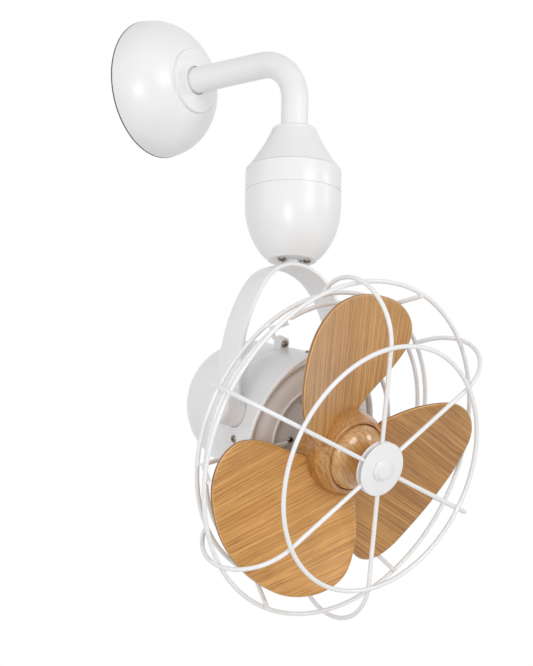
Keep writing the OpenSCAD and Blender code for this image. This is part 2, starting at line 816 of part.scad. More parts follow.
// Motor
module motor_outline(grow) {
    steps = 16;
    dome = [for (k = [0 : steps])
        let (t = 90 * k / steps)
        [(dome_r - grow) * sin(t), -dome_back - (dome_r - grow) * cos(t)]];
    polygon(concat(dome, [[seam_r - grow, -seam_back], [0, -seam_back]]));
}

module motor_rear_shell() {
    seat_front = stator_back + stator_l;
    color(white) head_frame() difference() {
        union() {
            rotate_extrude() difference() {
                motor_outline(0);
                motor_outline(wall);
            }
            rotate_extrude() intersection() {
                motor_outline(wall / 2);
                translate([stator_r + seat_fit, stator_back - 4]) square([20, stator_l + 4]);
            }
            rotate_extrude() intersection() {
                motor_outline(wall / 2);
                translate([stator_r - 5, stator_back - 4]) square([20, 4]);
            }
            rotate_extrude() intersection() {
                motor_outline(wall / 2);
                translate([0, -dome_back - dome_r]) square([bearing_r + cup_wall,
                    rear_bearing_back + bearing_t + dome_back + dome_r]);
            }
            at_lugs() lug(-seam_back - lug_l, lug_l);
        }
        translate([0, 0, rear_bearing_back]) cylinder(r = bearing_r + seat_fit, h = bearing_t + 1);
        translate([0, 0, rear_bearing_back - 4]) cylinder(r = shaft_r + 2, h = 5);
        at_lugs() translate([0, 0, -seam_back - lug_l - 1])
            cylinder(r = casing_shank_r + seat_fit, h = lug_l + 2);
    }
}

module at_lugs() {
    for (turn = lug_turns) {
        rotate([0, 0, turn]) translate([lug_pos, 0, 0]) children();
    }
}

module lug(back, h) {
    translate([0, 0, back]) cylinder(r = lug_r, h = h);
    translate([-lug_pos + seam_r - 1.5, -lug_r, back])
        cube([lug_pos - seam_r + 1.5, 2 * lug_r, h]);
}

module front_outline() {
    polygon([[0, -seam_back], [seam_r, -seam_back], [motor_r(rim_front - rim_round), rim_front - rim_round],
        [rim_r - 0.5, rim_front - 0.4], [rim_r - rim_round, rim_front], [0, rim_front]]);
}

module motor_front_shell() {
    lip = 2 * rim_round;
    ledge_back = ledge_front - ledge_t;
    color(white) head_frame() difference() {
        union() {
            rotate_extrude() difference() {
                front_outline();
                polygon([[0, -seam_back - 1], [motor_r(-seam_back) - motor_wall, -seam_back - 1],
                    [motor_r(ledge_back - 4) - motor_wall, ledge_back - 4], [ledge_r, ledge_back],
                    [ledge_r, ledge_front], [motor_r(ledge_front) - motor_wall, ledge_front],
                    [rim_r - lip - 0.5, rim_front - 2], [rim_r - lip, rim_front + 1], [0, rim_front + 1]]);
            }
            intersection() {
                rotate_extrude() front_outline();
                both_pivots() translate([0, 0, bolt_inner]) cylinder(r = boss_r + 3, h = 40);
            }
            at_lugs() lug(-seam_back, lug_l);
            at_radial_screws() translate([0, 0, motor_r(radial_front) - 9]) cylinder(r = 5, h = 7.5);
        }
        both_pivots() translate([0, 0, pad_w]) cylinder(r = boss_r + 0.6, h = 40);
        both_pivots() translate([0, 0, bolt_inner - 1]) cylinder(r = bolt_r + seat_fit, h = 40);
        at_lugs() translate([0, 0, -seam_back - 1]) cylinder(r = casing_shank_r + screw_clear, h = lug_l + 2);
        at_radial_screws() {
            translate([0, 0, radial_seat()]) cylinder(r = radial_head_r + 0.2, h = 8);
            translate([0, 0, radial_seat() - 9]) cylinder(r = radial_shank_r + seat_fit, h = 10);
        }
    }
}

function radial_seat() = motor_r(radial_front) - 0.7;

// Children are copied to the radial screws, with their own axis pointing away from the fan's axis
module at_radial_screws() {
    for (turn = radial_turns) {
        rotate([0, 0, turn]) translate([0, 0, radial_front]) rotate([0, 90, 0]) children();
    }
}

module casing_screws() {
    color(steel) head_frame() at_lugs() translate([0, 0, lug_l - seam_back])
        pan_screw(casing_head_r, casing_head_h, casing_shank_r, 2 * lug_l - 2);
}

module radial_screws() {
    color(steel) head_frame() at_radial_screws() translate([0, 0, radial_seat()])
        pan_screw(radial_head_r, 2.2, radial_shank_r, 7);
}

module motor_face() {
    flange_front = ledge_front + face_t;
    flange_r_out = motor_r(ledge_front) - motor_wall - 0.4;
    foot_r = ledge_r + 1.5;
    crown_r = face_lip_r + 8;
    steps = 8;
    crown = [for (k = [0 : steps])
        let (t = 90 * k / steps)
        [foot_r - (foot_r - crown_r) * (1 - cos(t)),
            flange_front + (face_peak - 1 - flange_front) * sin(t)]];
    under = [for (k = [steps : -1 : 0])
        let (t = 90 * k / steps)
        [foot_r - face_t - (foot_r - crown_r) * (1 - cos(t)),
            ledge_front + (face_peak - 1 - flange_front) * sin(t)]];
    flat_back = face_flat - face_t - cover_t;
    color(shade) head_frame() difference() {
        union() {
            rotate_extrude() polygon(concat([[flange_r_out, ledge_front], [flange_r_out, flange_front]],
                crown, [[face_lip_r + 3, face_peak - 1.2], [face_lip_r + 2.4, face_peak],
                    [face_lip_r + 0.6, face_peak], [face_lip_r, face_peak - 0.6],
                    [face_lip_r, face_flat], [cover_r + 0.25, face_flat],
                    [cover_r + 0.25, face_flat - cover_t], [bearing_r - 2, face_flat - cover_t],
                    [bearing_r - 2, flat_back], [face_lip_r + 2.5, flat_back],
                    [face_lip_r + 2.5, face_peak - 1 - face_t]], under));
            translate([0, 0, front_bearing_back - 3])
                cylinder(r = bearing_r + cup_wall, h = face_flat - cover_t - front_bearing_back + 2);
        }
        translate([0, 0, front_bearing_back])
            cylinder(r = bearing_r + seat_fit, h = face_flat - front_bearing_back + 1);
        translate([0, 0, front_bearing_back - 4]) cylinder(r = shaft_r + 2, h = 5);
        at_face_screws(outer_screw_pos, outer_screw_turn) translate([0, 0, face_flat - 7])
            cylinder(r = 1.5 + seat_fit, h = 8);
        at_face_screws(inner_screw_pos, inner_screw_turn) translate([0, 0, face_flat - 7])
            cylinder(r = 1.5 + seat_fit, h = 8);
    }
}

module at_face_screws(pos, first) {
    for (k = [0 : 2]) {
        rotate([0, 0, first + 120 * k]) translate([pos, 0, 0]) children();
    }
}

module bearing_cover() {
    color(shade) head_frame() difference() {
        union() {
            translate([0, 0, face_flat - cover_t]) cylinder(r = cover_r, h = cover_t);
            translate([0, 0, face_flat - 1]) cylinder(r = sleeve_r, h = sleeve_front - face_flat + 1);
        }
        translate([0, 0, face_flat - cover_t - 1])
            cylinder(r = shaft_r + 0.5, h = sleeve_front - face_flat + cover_t + 2);
        at_face_screws(inner_screw_pos, inner_screw_turn) translate([0, 0, face_flat - cover_t - 1])
            cylinder(r = 1.6, h = cover_t + 2);
    }
}

module face_screws() {
    color(steel) head_frame() {
        at_face_screws(outer_screw_pos, outer_screw_turn) translate([0, 0, face_flat])
            pan_screw(3.2, 1.8, 1.5, 5);
        at_face_screws(inner_screw_pos, inner_screw_turn) translate([0, 0, face_flat])
            pan_screw(3.2, 1.8, 1.5, cover_t + 2.8);
    }
}

module ball_bearing() {
    groove_r = (bearing_r + shaft_r) / 2;
    difference() {
        tube(bearing_r, shaft_r + run_fit, bearing_t);
        for (face = [-1, bearing_t - 0.8]) {
            translate([0, 0, face]) tube(groove_r + 1.4, groove_r - 1.4, 1.8);
        }
    }
}

module motor_bearings() {
    color(steel) head_frame() {
        translate([0, 0, rear_bearing_back]) ball_bearing();
        translate([0, 0, front_bearing_back]) ball_bearing();
    }
}

module stator_core() {
    color(steel) head_frame() translate([0, 0, stator_back]) tube(stator_r, core_r + 0.6, stator_l);
}

module stator_windings() {
    coil_h = 8;
    color("#b5652a") head_frame() {
        translate([0, 0, stator_back - coil_h]) tube(stator_r - 7, core_r + 5, coil_h);
        translate([0, 0, stator_back + stator_l]) tube(stator_r - 7, core_r + 5, coil_h);
    }
}

module pivot_bolts() {
    head_start = arm_out + friction_t + face_gap;
    color(steel) head_frame() both_pivots() {
        translate([0, 0, bolt_inner]) cylinder(r = bolt_r, h = head_start - bolt_inner);
        translate([0, 0, head_start]) cylinder(r = bolt_head_r, h = bolt_head_t, $fn = 6);
    }
}

// Guard
module wire_ring(r, a) {
    color(white) head_frame() translate([0, 0, a]) rotate_extrude() translate([r, 0]) circle(wire_r);
}

module large_ring() {
    wire_ring(large_ring_r, large_ring_a);
}

module front_ring() {
    wire_ring(front_ring_r, guard_front + weld_pitch);
}

module rear_ring() {
    wire_ring(rear_ring_r, rear_ring_a);
}

module inner_rear_ring() {
    wire_ring(inner_rear_ring_r, rear_ring_a);
}

function rod_a_at(r) = rod_seat_a + (r - rod_seat_r) * tan(rod_slope);

module face_ring() {
    wire_ring(face_ring_r, rod_a_at(face_ring_r) + weld_pitch);
}

// A straight wire along x
module wire_run(r, l) {
    rotate([0, 90, 0]) cylinder(r = r, h = l);
}

// A straight wire along x whose far end is round
module round_run(r, l) {
    rotate([0, 90, 0]) rotate_extrude() {
        square([r, l - r]);
        translate([0, l - r]) intersection() {
            circle(r);
            square(r);
        }
    }
}

// A rod that starts inside, bends at its elbow and climbs to the large ring, drawn from its bend.
// Its straight runs are a hair thinner than the bend and start inside it.
module guard_rod(start_r) {
    turn = strut_dir - rod_slope;
    tangent = elbow_r * tan(turn / 2);
    bend_start = elbow_pos - tangent * cos(rod_slope);
    run_r = wire_r - joint_step;
    translate([bend_start, 0, rod_a_at(bend_start)]) rotate([90, 0, 0]) rotate([0, 0, rod_slope]) {
        rotate([0, 0, 180]) translate([-joint_in, 0, 0])
            round_run(run_r, (bend_start - start_r) / cos(rod_slope) + joint_in);
        translate([0, elbow_r, 0]) {
            rotate([0, 0, -90]) rotate_extrude(angle = turn) translate([elbow_r, 0]) circle(wire_r);
            rotate([0, 0, turn]) translate([-joint_in, -elbow_r, 0])
                wire_run(run_r, strut_l - tangent + joint_in);
        }
    }
}

module long_rods() {
    color(white) head_frame() for (turn = long_turns) {
        rotate([0, 0, turn]) guard_rod(rod_end_r);
    }
}

module short_rods() {
    color(white) head_frame() for (turn = short_turns) {
        rotate([0, 0, turn]) guard_rod(stub_end_r);
    }
}

// A spoke runs out from the disc and curls back in one arc
module spoke(index) {
    color(white) head_frame() rotate([0, 0, spoke_turn + 360 / spokes * (index - 1)]) {
        translate([spoke_start, 0, guard_front]) wire_run(wire_r, spoke_arc_pos - spoke_start);
        translate([spoke_arc_pos, 0, arc_centre_a]) rotate([-90, -90, 0])
            rotate_extrude(angle = spoke_sweep) translate([spoke_arc_r, 0]) circle(wire_r);
    }
}

module guard_discs() {
    color(white) head_frame() {
        translate([0, 0, guard_front + wire_r + disc_gap]) tube(disc_r, knob_stem_r + seat_fit, disc_t);
        translate([0, 0, guard_front - wire_r - disc_gap - disc_t])
            tube(disc_r, knob_stem_r + seat_fit, disc_t);
    }
}

module front_knob() {
    base = guard_front + wire_r + disc_gap + disc_t;
    tail = guard_front - wire_r - disc_gap - disc_t;
    color(white) head_frame() {
        translate([0, 0, base]) rotate_extrude() polygon([[0, 0], [knob_r, 0], [knob_r, 1.4],
            [knob_r - 0.6, 2], [knob_r - 2.4, 2], [knob_r - 2.4, 3.6], [knob_r - 3.2, 4.4], [0, 4.4]]);
        translate([0, 0, tail - 3]) cylinder(r = knob_stem_r, h = base - tail + 3.5);
        translate([0, 0, tail - 3]) cylinder(r = 6, h = 3, $fn = 6);
    }
}

// Rotor
module motor_shaft() {
    color(steel) head_frame() translate([0, 0, rear_bearing_back + 1])
        cylinder(r = shaft_r, h = shaft_front - rear_bearing_back - 1);
}

module rotor_core() {
    color(dark) head_frame() translate([0, 0, stator_back - 1])
        tube(core_r, shaft_r + seat_fit, stator_l + 2);
}

module shaft_collar() {
    back = sleeve_front + 1;
    hub_face = hub_back - core_flange_t;
    color(dark) head_frame() difference() {
        union() {
            translate([0, 0, back]) cylinder(r = shaft_collar_r, h = hub_face - back + 0.5);
            translate([0, 0, hub_face]) cylinder(r = core_flange_r, h = core_flange_t);
            translate([0, 0, hub_back - 0.5]) cylinder(r = hub_bore_r - seat_fit, h = cap_seat - hub_back - 3);
        }
        translate([0, 0, back - 1]) cylinder(r = shaft_r + seat_fit, h = cap_seat - back + 2);
        at_hub_screws() translate([0, 0, hub_face - 1]) cylinder(r = 1.8, h = core_flange_t + 2);
    }
}

module at_hub_screws() {
    for (k = [0 : 2]) {
        rotate([0, 0, blade_turn + 60 + 120 * k]) translate([21, 0, 0]) children();
    }
}

module at_blade_screws() {
    for (k = [0 : blades - 1]) {
        rotate([0, 0, blade_turn + 360 / blades * k]) translate([blade_screw_pos, tongue_s, 0])
            children();
    }
}

// The flat tongue that a blade's root pushes into the hub
module blade_tongue(grow) {
    translate([0, tongue_s, blade_a + blade_height(tongue_s)])
        rotate([atan(blade_tilt(tongue_s)), 0, 0])
        translate([tongue_in - grow, -tongue_w / 2 - grow, -tongue_t / 2 - grow])
        cube([hub_r - tongue_in + 4 + grow, tongue_w + 2 * grow, tongue_t + 2 * grow]);
}

module hub_ring() {
    round_r = 2;
    shoulder_a = hub_back + 0.5 * hub_l;
    steps = 8;
    nose = [for (k = [0 : steps])
        let (t = k / steps)
        [hub_r - (hub_r - hub_front_r) * t * t, shoulder_a + (hub_front - round_r - shoulder_a) * t]];
    color(walnut) head_frame() difference() {
        rotate_extrude() polygon(concat([[hub_bore_r, hub_back], [hub_r - round_r, hub_back],
            [hub_r - 0.3 * round_r, hub_back + 0.3 * round_r], [hub_r, hub_back + round_r]], nose,
            [[hub_front_r - 0.3 * round_r, hub_front - 0.3 * round_r], [hub_front_r - round_r, hub_front],
                [cap_r + cap_groove, hub_front], [cap_r + cap_groove, cap_seat], [hub_bore_r, cap_seat]]));
        for (k = [0 : blades - 1]) {
            rotate([0, 0, blade_turn + 360 / blades * k]) blade_tongue(0.1);
        }
        at_blade_screws() translate([0, 0, hub_back - 1]) cylinder(r = 2 + seat_fit, h = blade_rise);
        at_hub_screws() translate([0, 0, hub_back - 1]) cylinder(r = 1.5 + seat_fit, h = 12);
    }
}

module hub_cap() {
    steps = 12;
    base_h = hub_front - 2 - cap_seat;
    dome = [for (k = [0 : steps])
        let (t = 90 * k / steps)
        [cap_r * cos(t), cap_seat + base_h + cap_dome * sin(t)]];
    color(walnut) head_frame() rotate_extrude() polygon(concat([[nut_r + 3, cap_seat], [cap_r, cap_seat]],
        dome, [[0, cap_seat + 8], [nut_r + 3, cap_seat + 8]]));
}

module hub_screws() {
    color(steel) head_frame() {
        at_hub_screws() translate([0, 0, hub_back - core_flange_t]) rotate([180, 0, 0])
            pan_screw(3.2, 1.8, 1.5, core_flange_t + 9);
        at_blade_screws() translate([0, 0, hub_back]) rotate([180, 0, 0])
            pan_screw(3.6, 2, 2, blade_rise - 5);
        translate([0, 0, cap_seat - 3.2]) difference() {
            cylinder(r = nut_r, h = 3, $fn = 6);
            translate([0, 0, -1]) cylinder(r = shaft_r + seat_fit, h = 6);
        }
    }
}

// One blade as a curved board with rounded edges, in rings round its centre
module blade() {
    reach = max([for (p = blade_outline) norm(p)]);
    edge = [for (p = closed_curve(blade_outline, outline_steps)) p * sweep_r / reach];
    n = len(edge);
    m = len(blade_rings);
    top = [for (k = [0 : m - 1], p = edge)
        blade_point(blade_centre + (p - blade_centre) * blade_rings[k], blade_edge[k])];
    bottom = [for (k = [1 : m - 1], p = edge)
        blade_point(blade_centre + (p - blade_centre) * blade_rings[k], -blade_edge[k])];
    poles = [blade_point(blade_centre, 1), blade_point(blade_centre, -1)];
    all_points = concat(top, bottom, poles);
    pole_top = n * (2 * m - 1);
    faces = concat(
        [for (k = [0 : m - 2], i = [0 : n - 1], half = [0, 1])
            let (a = k * n + i, b = k * n + (i + 1) % n)
            half == 0 ? [a, a + n, b] : [b, a + n, b + n]],
        [for (i = [0 : n - 1]) [(m - 1) * n + i, pole_top, (m - 1) * n + (i + 1) % n]],
        [for (i = [0 : n - 1], half = [0, 1])
            let (j = (i + 1) % n)
            half == 0 ? [i, j, m * n + i] : [j, m * n + j, m * n + i]],
        [for (k = [0 : m - 3], i = [0 : n - 1], half = [0, 1])
            let (a = (m + k) * n + i, b = (m + k) * n + (i + 1) % n)
            half == 0 ? [a, b, a + n] : [b, b + n, a + n]],
        [for (i = [0 : n - 1]) [(2 * m - 2) * n + i, (2 * m - 2) * n + (i + 1) % n, pole_top + 1]]);
    difference() {
        polyhedron(points = all_points, faces = faces);
        cylinder(r = hub_r + 0.15, h = 3 * hub_back, $fn = 96);
    }
    blade_tongue(0);
}

function blade_point(p, side) =
    [p[0], p[1], blade_a + blade_height(p[1])
        + side * blade_t / 2 * sqrt(1 + pow(blade_tilt(p[1]), 2))];

module placed_blade(index) {
    color(oak) head_frame() rotate([0, 0, blade_turn + 360 / blades * (index - 1)]) blade();
}

canopy_gasket();
wall_bracket();
terminal_block();
canopy();
canopy_collar();
grub_screws();
arm_pipe();
pipe_lock_nuts();
housing_cap();
housing_band();
housing_shell();
inner_frame();
gearmotor();
lower_bush();
upper_bush();
bottom_screws();
drive_pinion();
swivel_shaft();
output_gear();
thrust_washer();
retaining_ring();
yoke_arch();
pivot_bosses();
pivot_caps();
friction_washers();
motor_rear_shell();
motor_front_shell();
casing_screws();
radial_screws();
motor_face();
bearing_cover();
face_screws();
motor_bearings();
stator_core();
stator_windings();
pivot_bolts();
large_ring();
front_ring();
rear_ring();
inner_rear_ring();
face_ring();
long_rods();
short_rods();
spoke(1);  // spoke_1
spoke(2);  // spoke_2
spoke(3);  // spoke_3
spoke(4);  // spoke_4
spoke(5);  // spoke_5
spoke(6);  // spoke_6
guard_discs();
front_knob();
motor_shaft();
rotor_core();
shaft_collar();
hub_ring();
hub_cap();
hub_screws();
placed_blade(1);  // blade_1
placed_blade(2);  // blade_2
placed_blade(3);  // blade_3
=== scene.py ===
"""Looks of a wall and ceiling fan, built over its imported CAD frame.

The fan is a canopy and a bent tube from the wall, an egg-shaped swivel housing, a strip yoke, a
motor with a wire guard round it, and a wooden hub with three oak-faced blades. Lengths are in
millimetres, in the frame of the part that carries them, and become metres when a mesh is placed.
"""

import logging
import math
from collections.abc import Callable, Sequence
from dataclasses import dataclass
from enum import Enum
from typing import Any, ClassVar

import bmesh
import bpy
from mathutils import Matrix, Vector


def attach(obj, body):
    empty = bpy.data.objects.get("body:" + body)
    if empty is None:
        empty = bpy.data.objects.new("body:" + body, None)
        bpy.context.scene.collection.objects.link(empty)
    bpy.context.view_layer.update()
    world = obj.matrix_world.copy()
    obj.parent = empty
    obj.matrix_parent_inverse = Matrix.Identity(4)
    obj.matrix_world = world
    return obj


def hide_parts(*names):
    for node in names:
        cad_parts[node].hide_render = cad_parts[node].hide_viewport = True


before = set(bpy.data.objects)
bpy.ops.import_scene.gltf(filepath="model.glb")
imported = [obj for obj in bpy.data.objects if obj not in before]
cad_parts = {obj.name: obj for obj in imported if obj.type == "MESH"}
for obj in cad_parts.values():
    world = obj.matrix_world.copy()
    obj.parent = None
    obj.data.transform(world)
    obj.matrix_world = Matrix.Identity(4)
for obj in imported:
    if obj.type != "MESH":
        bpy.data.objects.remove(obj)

LOG = logging.getLogger("fan")
Point = tuple[float, float]
Socket = bpy.types.NodeSocket
Mesh = bpy.types.Mesh
# Millimetres in a metre
MM = 1000
# Radius under which a turned outline's point lies on the axis
POLE = 1e-6
# Sides of a turned body, from small ones to the motor's
SMALL, USUAL, BROAD, BROADEST = 96, 128, 160, 192
# Width of the wave texture's rings at scale 1
RING_UNIT = math.tau / 20
# Radius of the seats that hold the tube
SEAT_R = 14.02


def turned(angle: float, axis: str) -> Matrix:
    """A rotation by an angle in degrees about X, Y or Z."""
    return Matrix.Rotation(math.radians(angle), 4, axis)


def moved(x: float, y: float, z: float) -> Matrix:
    """A shift by lengths in millimetres."""
    return Matrix.Translation((x, y, z))


def cosine(angle: float) -> float:
    """Cosine of an angle in degrees."""
    return math.cos(math.radians(angle))


def sine(angle: float) -> float:
    """Sine of an angle in degrees."""
    return math.sin(math.radians(angle))


def spaced(start: float, end: float, steps: int) -> list[float]:
    """Even steps from start to end, both included."""
    return [start + (end - start) * k / steps for k in range(steps + 1)]


METRES = Matrix.Scale(1 / MM, 4)
WALL = turned(90, "X")
SWIVEL = moved(0, -187, 0)
YOKE = SWIVEL @ turned(-7, "Z")
TILT = YOKE @ moved(0, 0, -386)
HEAD = TILT @ turned(116, "X")


def linear(hex_colour: str) -> tuple[float, float, float, float]:
    """Turns an sRGB hex value, "#rrggbb", into linear red, green and blue with an alpha of 1."""
    levels = [int(hex_colour[k:k + 2], 16) / 255 for k in (1, 3, 5)]
    return (*(v / 12.92 if v <= 0.04045 else ((v + 0.055) / 1.055) ** 2.4 for v in levels), 1.0)


def linked(name: str, data: bpy.types.ID) -> bpy.types.Object:
    """Makes an object and links it to the scene.

    Args:
        name: Name of the object.
        data: Its mesh, light or camera.

    Returns:
        The object.
    """
    made = bpy.data.objects.new(name, data)
    bpy.context.scene.collection.objects.link(made)
    return made


class Nodes:
    """A node tree that is being wired."""

    def __init__(self, tree: bpy.types.NodeTree) -> None:
        """Takes the tree, and with a material's tree its Principled BSDF."""
        self.tree = tree
        self.shader = tree.nodes.get("Principled BSDF")

    def add(self, kind: str, values: dict[str | int, Any] | None = None) -> bpy.types.Node:
        """Adds a node.

        Args:
            kind: The node's type.
            values: The node's own properties by name, and its inputs by name or number. A socket
                is linked, anything else is set.

        Returns:
            The new node.
        """
        made = self.tree.nodes.new(kind)
        for key, value in (values or {}).items():
            if isinstance(value, Socket):
                self.tree.links.new(value, made.inputs[key])
            elif isinstance(key, str) and hasattr(made, key):
                setattr(made, key, value)
            else:
                made.inputs[key].default_value = value
        return made

    def feed(self, key: str, source: Socket) -> None:
        """Links a socket to the shader's input of that name."""
        self.tree.links.new(source, self.shader.inputs[key])

    def math(self, operation: str, *values: Socket | float) -> Socket:
        """Adds a math node of that kind for sockets and numbers and gives its result."""
        return self.add("ShaderNodeMath", {"operation": operation,
                                           **dict(enumerate(values))}).outputs[0]

    def where(self) -> Socket:
        """The Object coordinates in metres."""
        return self.add("ShaderNodeTexCoord").outputs["Object"]

    def mapped(self, where: Socket, **values: Any) -> Socket:
        """Maps coordinates with a Mapping node's values."""
        return self.add("ShaderNodeMapping", {**values, "Vector": where}).outputs["Vector"]

    def in_frame(self, place: Matrix) -> Socket:
        """The Object coordinates in metres along the axes of a frame given in millimetres."""
        return self.mapped(self.where(), vector_type="TEXTURE", Location=place.translation / MM,
                           Rotation=place.to_euler())

    def stretched(self, where: Socket, *sizes: float) -> Socket:
        """Stretches coordinates so that spots of a pattern of scale 1 get sizes in millimetres."""
        return self.mapped(where, Scale=[MM / size for size in sizes])

    def noise(self, where: Socket, size: float, detail: float = 2.0) -> Socket:
        """Adds noise.

        Args:
            where: The coordinates in metres.
            size: Size of a spot in millimetres.
            detail: Number of finer layers.

        Returns:
            The noise's value.
        """
        return self.add("ShaderNodeTexNoise", {"Scale": MM / size, "Detail": detail,
                                               "Vector": where}).outputs["Fac"]

    def grain(self, where: Socket, sizes: Sequence[float], detail: float) -> Socket:
        """Adds noise whose spots have a size in millimetres along each axis."""
        return self.noise(self.stretched(where, *sizes), MM, detail)

    def rings(self, where: Socket, axis: str, width: float, **values: Any) -> Socket:
        """Adds rings round an axis.

        Args:
            where: The coordinates in metres.
            axis: X, Y or Z.
            width: Width of a ring in millimetres.
            **values: Other values of the node.

        Returns:
            The rings' value.
        """
        return self.add("ShaderNodeTexWave", {
            "wave_type": "RINGS", "rings_direction": axis, **values,
            "Scale": RING_UNIT * MM / width, "Vector": where}).outputs["Fac"]

    def spread(self, value: Socket, low: float, high: float, start: float = 0.3,
               end: float = 0.7) -> Socket:
        """Maps a pattern's value onto a range.

        Args:
            value: The pattern's value.
            low: Result at start.
            high: Result at end.
            start: Lowest value read.
            end: Highest value read.

        Returns:
            The mapped value.
        """
        return self.add("ShaderNodeMapRange", {"From Min": start, "From Max": end, "To Min": low,
                                               "To Max": high, "Value": value}).outputs["Result"]

    def blend(self, share: Socket, first: Socket | str, second: Socket | str) -> Socket:
        """Mixes two colours by a pattern.

        Args:
            share: How much of the second colour shows.
            first: A colour's socket or hex value.
            second: A colour's socket or hex value.

        Returns:
            The mixed colour.
        """
        first, second = (linear(c) if isinstance(c, str) else c for c in (first, second))
        return self.add("ShaderNodeMix", {"data_type": "RGBA", 0: share, 6: first,
                                          7: second}).outputs[2]

    def emboss(self, height: Socket, depth: float) -> None:
        """Feeds a height pattern to the shader's normal; its full height is in millimetres."""
        bump = self.add("ShaderNodeBump", {"Strength": 1.0, "Distance": depth / MM,
                                           "Height": height})
        self.feed("Normal", bump.outputs["Normal"])


# Finishes


@dataclass(frozen=True)
class Finish:
    """What every finish has: a name, a colour, the shader's plain values and its pieces' slot."""

    name: str
    colour: str
    roughness: float = 0.4
    metallic: float = 0.0
    coat: float = 0.0
    coat_roughness: float = 0.1
    slot: str = ""

    def material(self) -> bpy.types.Material:
        """Gives the material, which is made once.

        Returns:
            The material.
        """
        made = bpy.data.materials.get(self.name)
        if made is None:
            made = bpy.data.materials.new(self.name)
            made.use_nodes = True
            made.diffuse_color = linear(self.colour)
            made.roughness = self.roughness
            made.metallic = self.metallic
            nodes = Nodes(made.node_tree)
            plain = {"Base Color": linear(self.colour), "Roughness": self.roughness,
                     "Metallic": self.metallic, "Coat Weight": self.coat,
                     "Coat Roughness": self.coat_roughness}
            for key, value in plain.items():
                nodes.shader.inputs[key].default_value = value
            self.dress(nodes)
        return made

    def dress(self, nodes: Nodes) -> None:
        """Adds the surface's own pattern.

        Args:
            nodes: The material's nodes.
        """
        raise NotImplementedError

    def gloss(self, nodes: Nodes, pattern: Socket, low: float, high: float) -> None:
        """Makes the gloss uneven.

        Args:
            nodes: The material's nodes.
            pattern: Where it is duller.
            low: What the roughness gains at the pattern's start.
            high: What it gains at the pattern's end.
        """
        nodes.feed("Roughness", nodes.spread(pattern, self.roughness + low, self.roughness + high))


@dataclass(frozen=True)
class Paint(Finish):
    """Paint or powder coat on metal.

    Real orange peel is 1 to 2 mm wide; it is drawn wider so that it shows.
    """

    peel: float = 4.0
    depth: float = 0.006
    drift: str = "#ececed"

    def dress(self, nodes: Nodes) -> None:
        """Adds a slow drift of tone, uneven gloss and orange peel.

        Args:
            nodes: The material's nodes.
        """
        where = nodes.where()
        nodes.feed("Base Color", nodes.blend(nodes.noise(where, 45, 1), self.colour, self.drift))
        self.gloss(nodes, nodes.noise(where, 9), -0.04, 0.05)
        nodes.emboss(nodes.noise(where, self.peel), self.depth)


@dataclass(frozen=True)
class Metal(Finish):
    """Bare or plated metal with grain of a given size."""

    grain: float = 2.0
    depth: float = 0.01
    stain: str = "#8f8f8c"
    metallic: float = 1.0

    def dress(self, nodes: Nodes) -> None:
        """Adds patches of tone, uneven gloss and a fine grain.

        Args:
            nodes: The material's nodes.
        """
        where = nodes.where()
        patches = nodes.spread(nodes.noise(where, 7, 4), 0, 0.6)
        nodes.feed("Base Color", nodes.blend(patches, self.colour, self.stain))
        fine = nodes.noise(where, self.grain, 3)
        self.gloss(nodes, fine, -0.08, 0.1)
        nodes.emboss(fine, self.depth)


@dataclass(frozen=True)
class Moulded(Finish):
    """Moulded plastic or rubber with a fine eroded texture, drawn coarser than its real 0.1 mm."""

    grain: float = 1.2
    depth: float = 0.02
    bloom: str = "#55555a"

    def dress(self, nodes: Nodes) -> None:
        """Adds the mould's texture and a faint bloom.

        Args:
            nodes: The material's nodes.
        """
        where = nodes.where()
        bloom = nodes.spread(nodes.noise(where, 14, 3), 0, 0.35)
        nodes.feed("Base Color", nodes.blend(bloom, self.colour, self.bloom))
        fine = nodes.noise(where, self.grain, 2)
        self.gloss(nodes, fine, -0.05, 0.07)
        nodes.emboss(fine, self.depth)


@dataclass(frozen=True)
class Winding(Finish):
    """Enamelled copper wire. It is 0.6 mm thick and is drawn as bands of many wires to show."""

    band: float = 8.8
    depth: float = 0.3
    # Painted shade: the darker colour of the gaps between the bands
    painted_gap_shade: str = "#6b3413"

    def dress(self, nodes: Nodes) -> None:
        """Adds the wires as bands round the fan's axis, with painted shade in the gaps between
        them.

        Args:
            nodes: The material's nodes.
        """
        bands = nodes.rings(nodes.in_frame(HEAD), "Z", self.band, Distortion=1.5, Detail=1.0)
        # Painted shade: the gaps between the bands take the darker colour
        nodes.feed("Base Color", nodes.blend(bands, self.painted_gap_shade, self.colour))
        nodes.emboss(bands, self.depth)


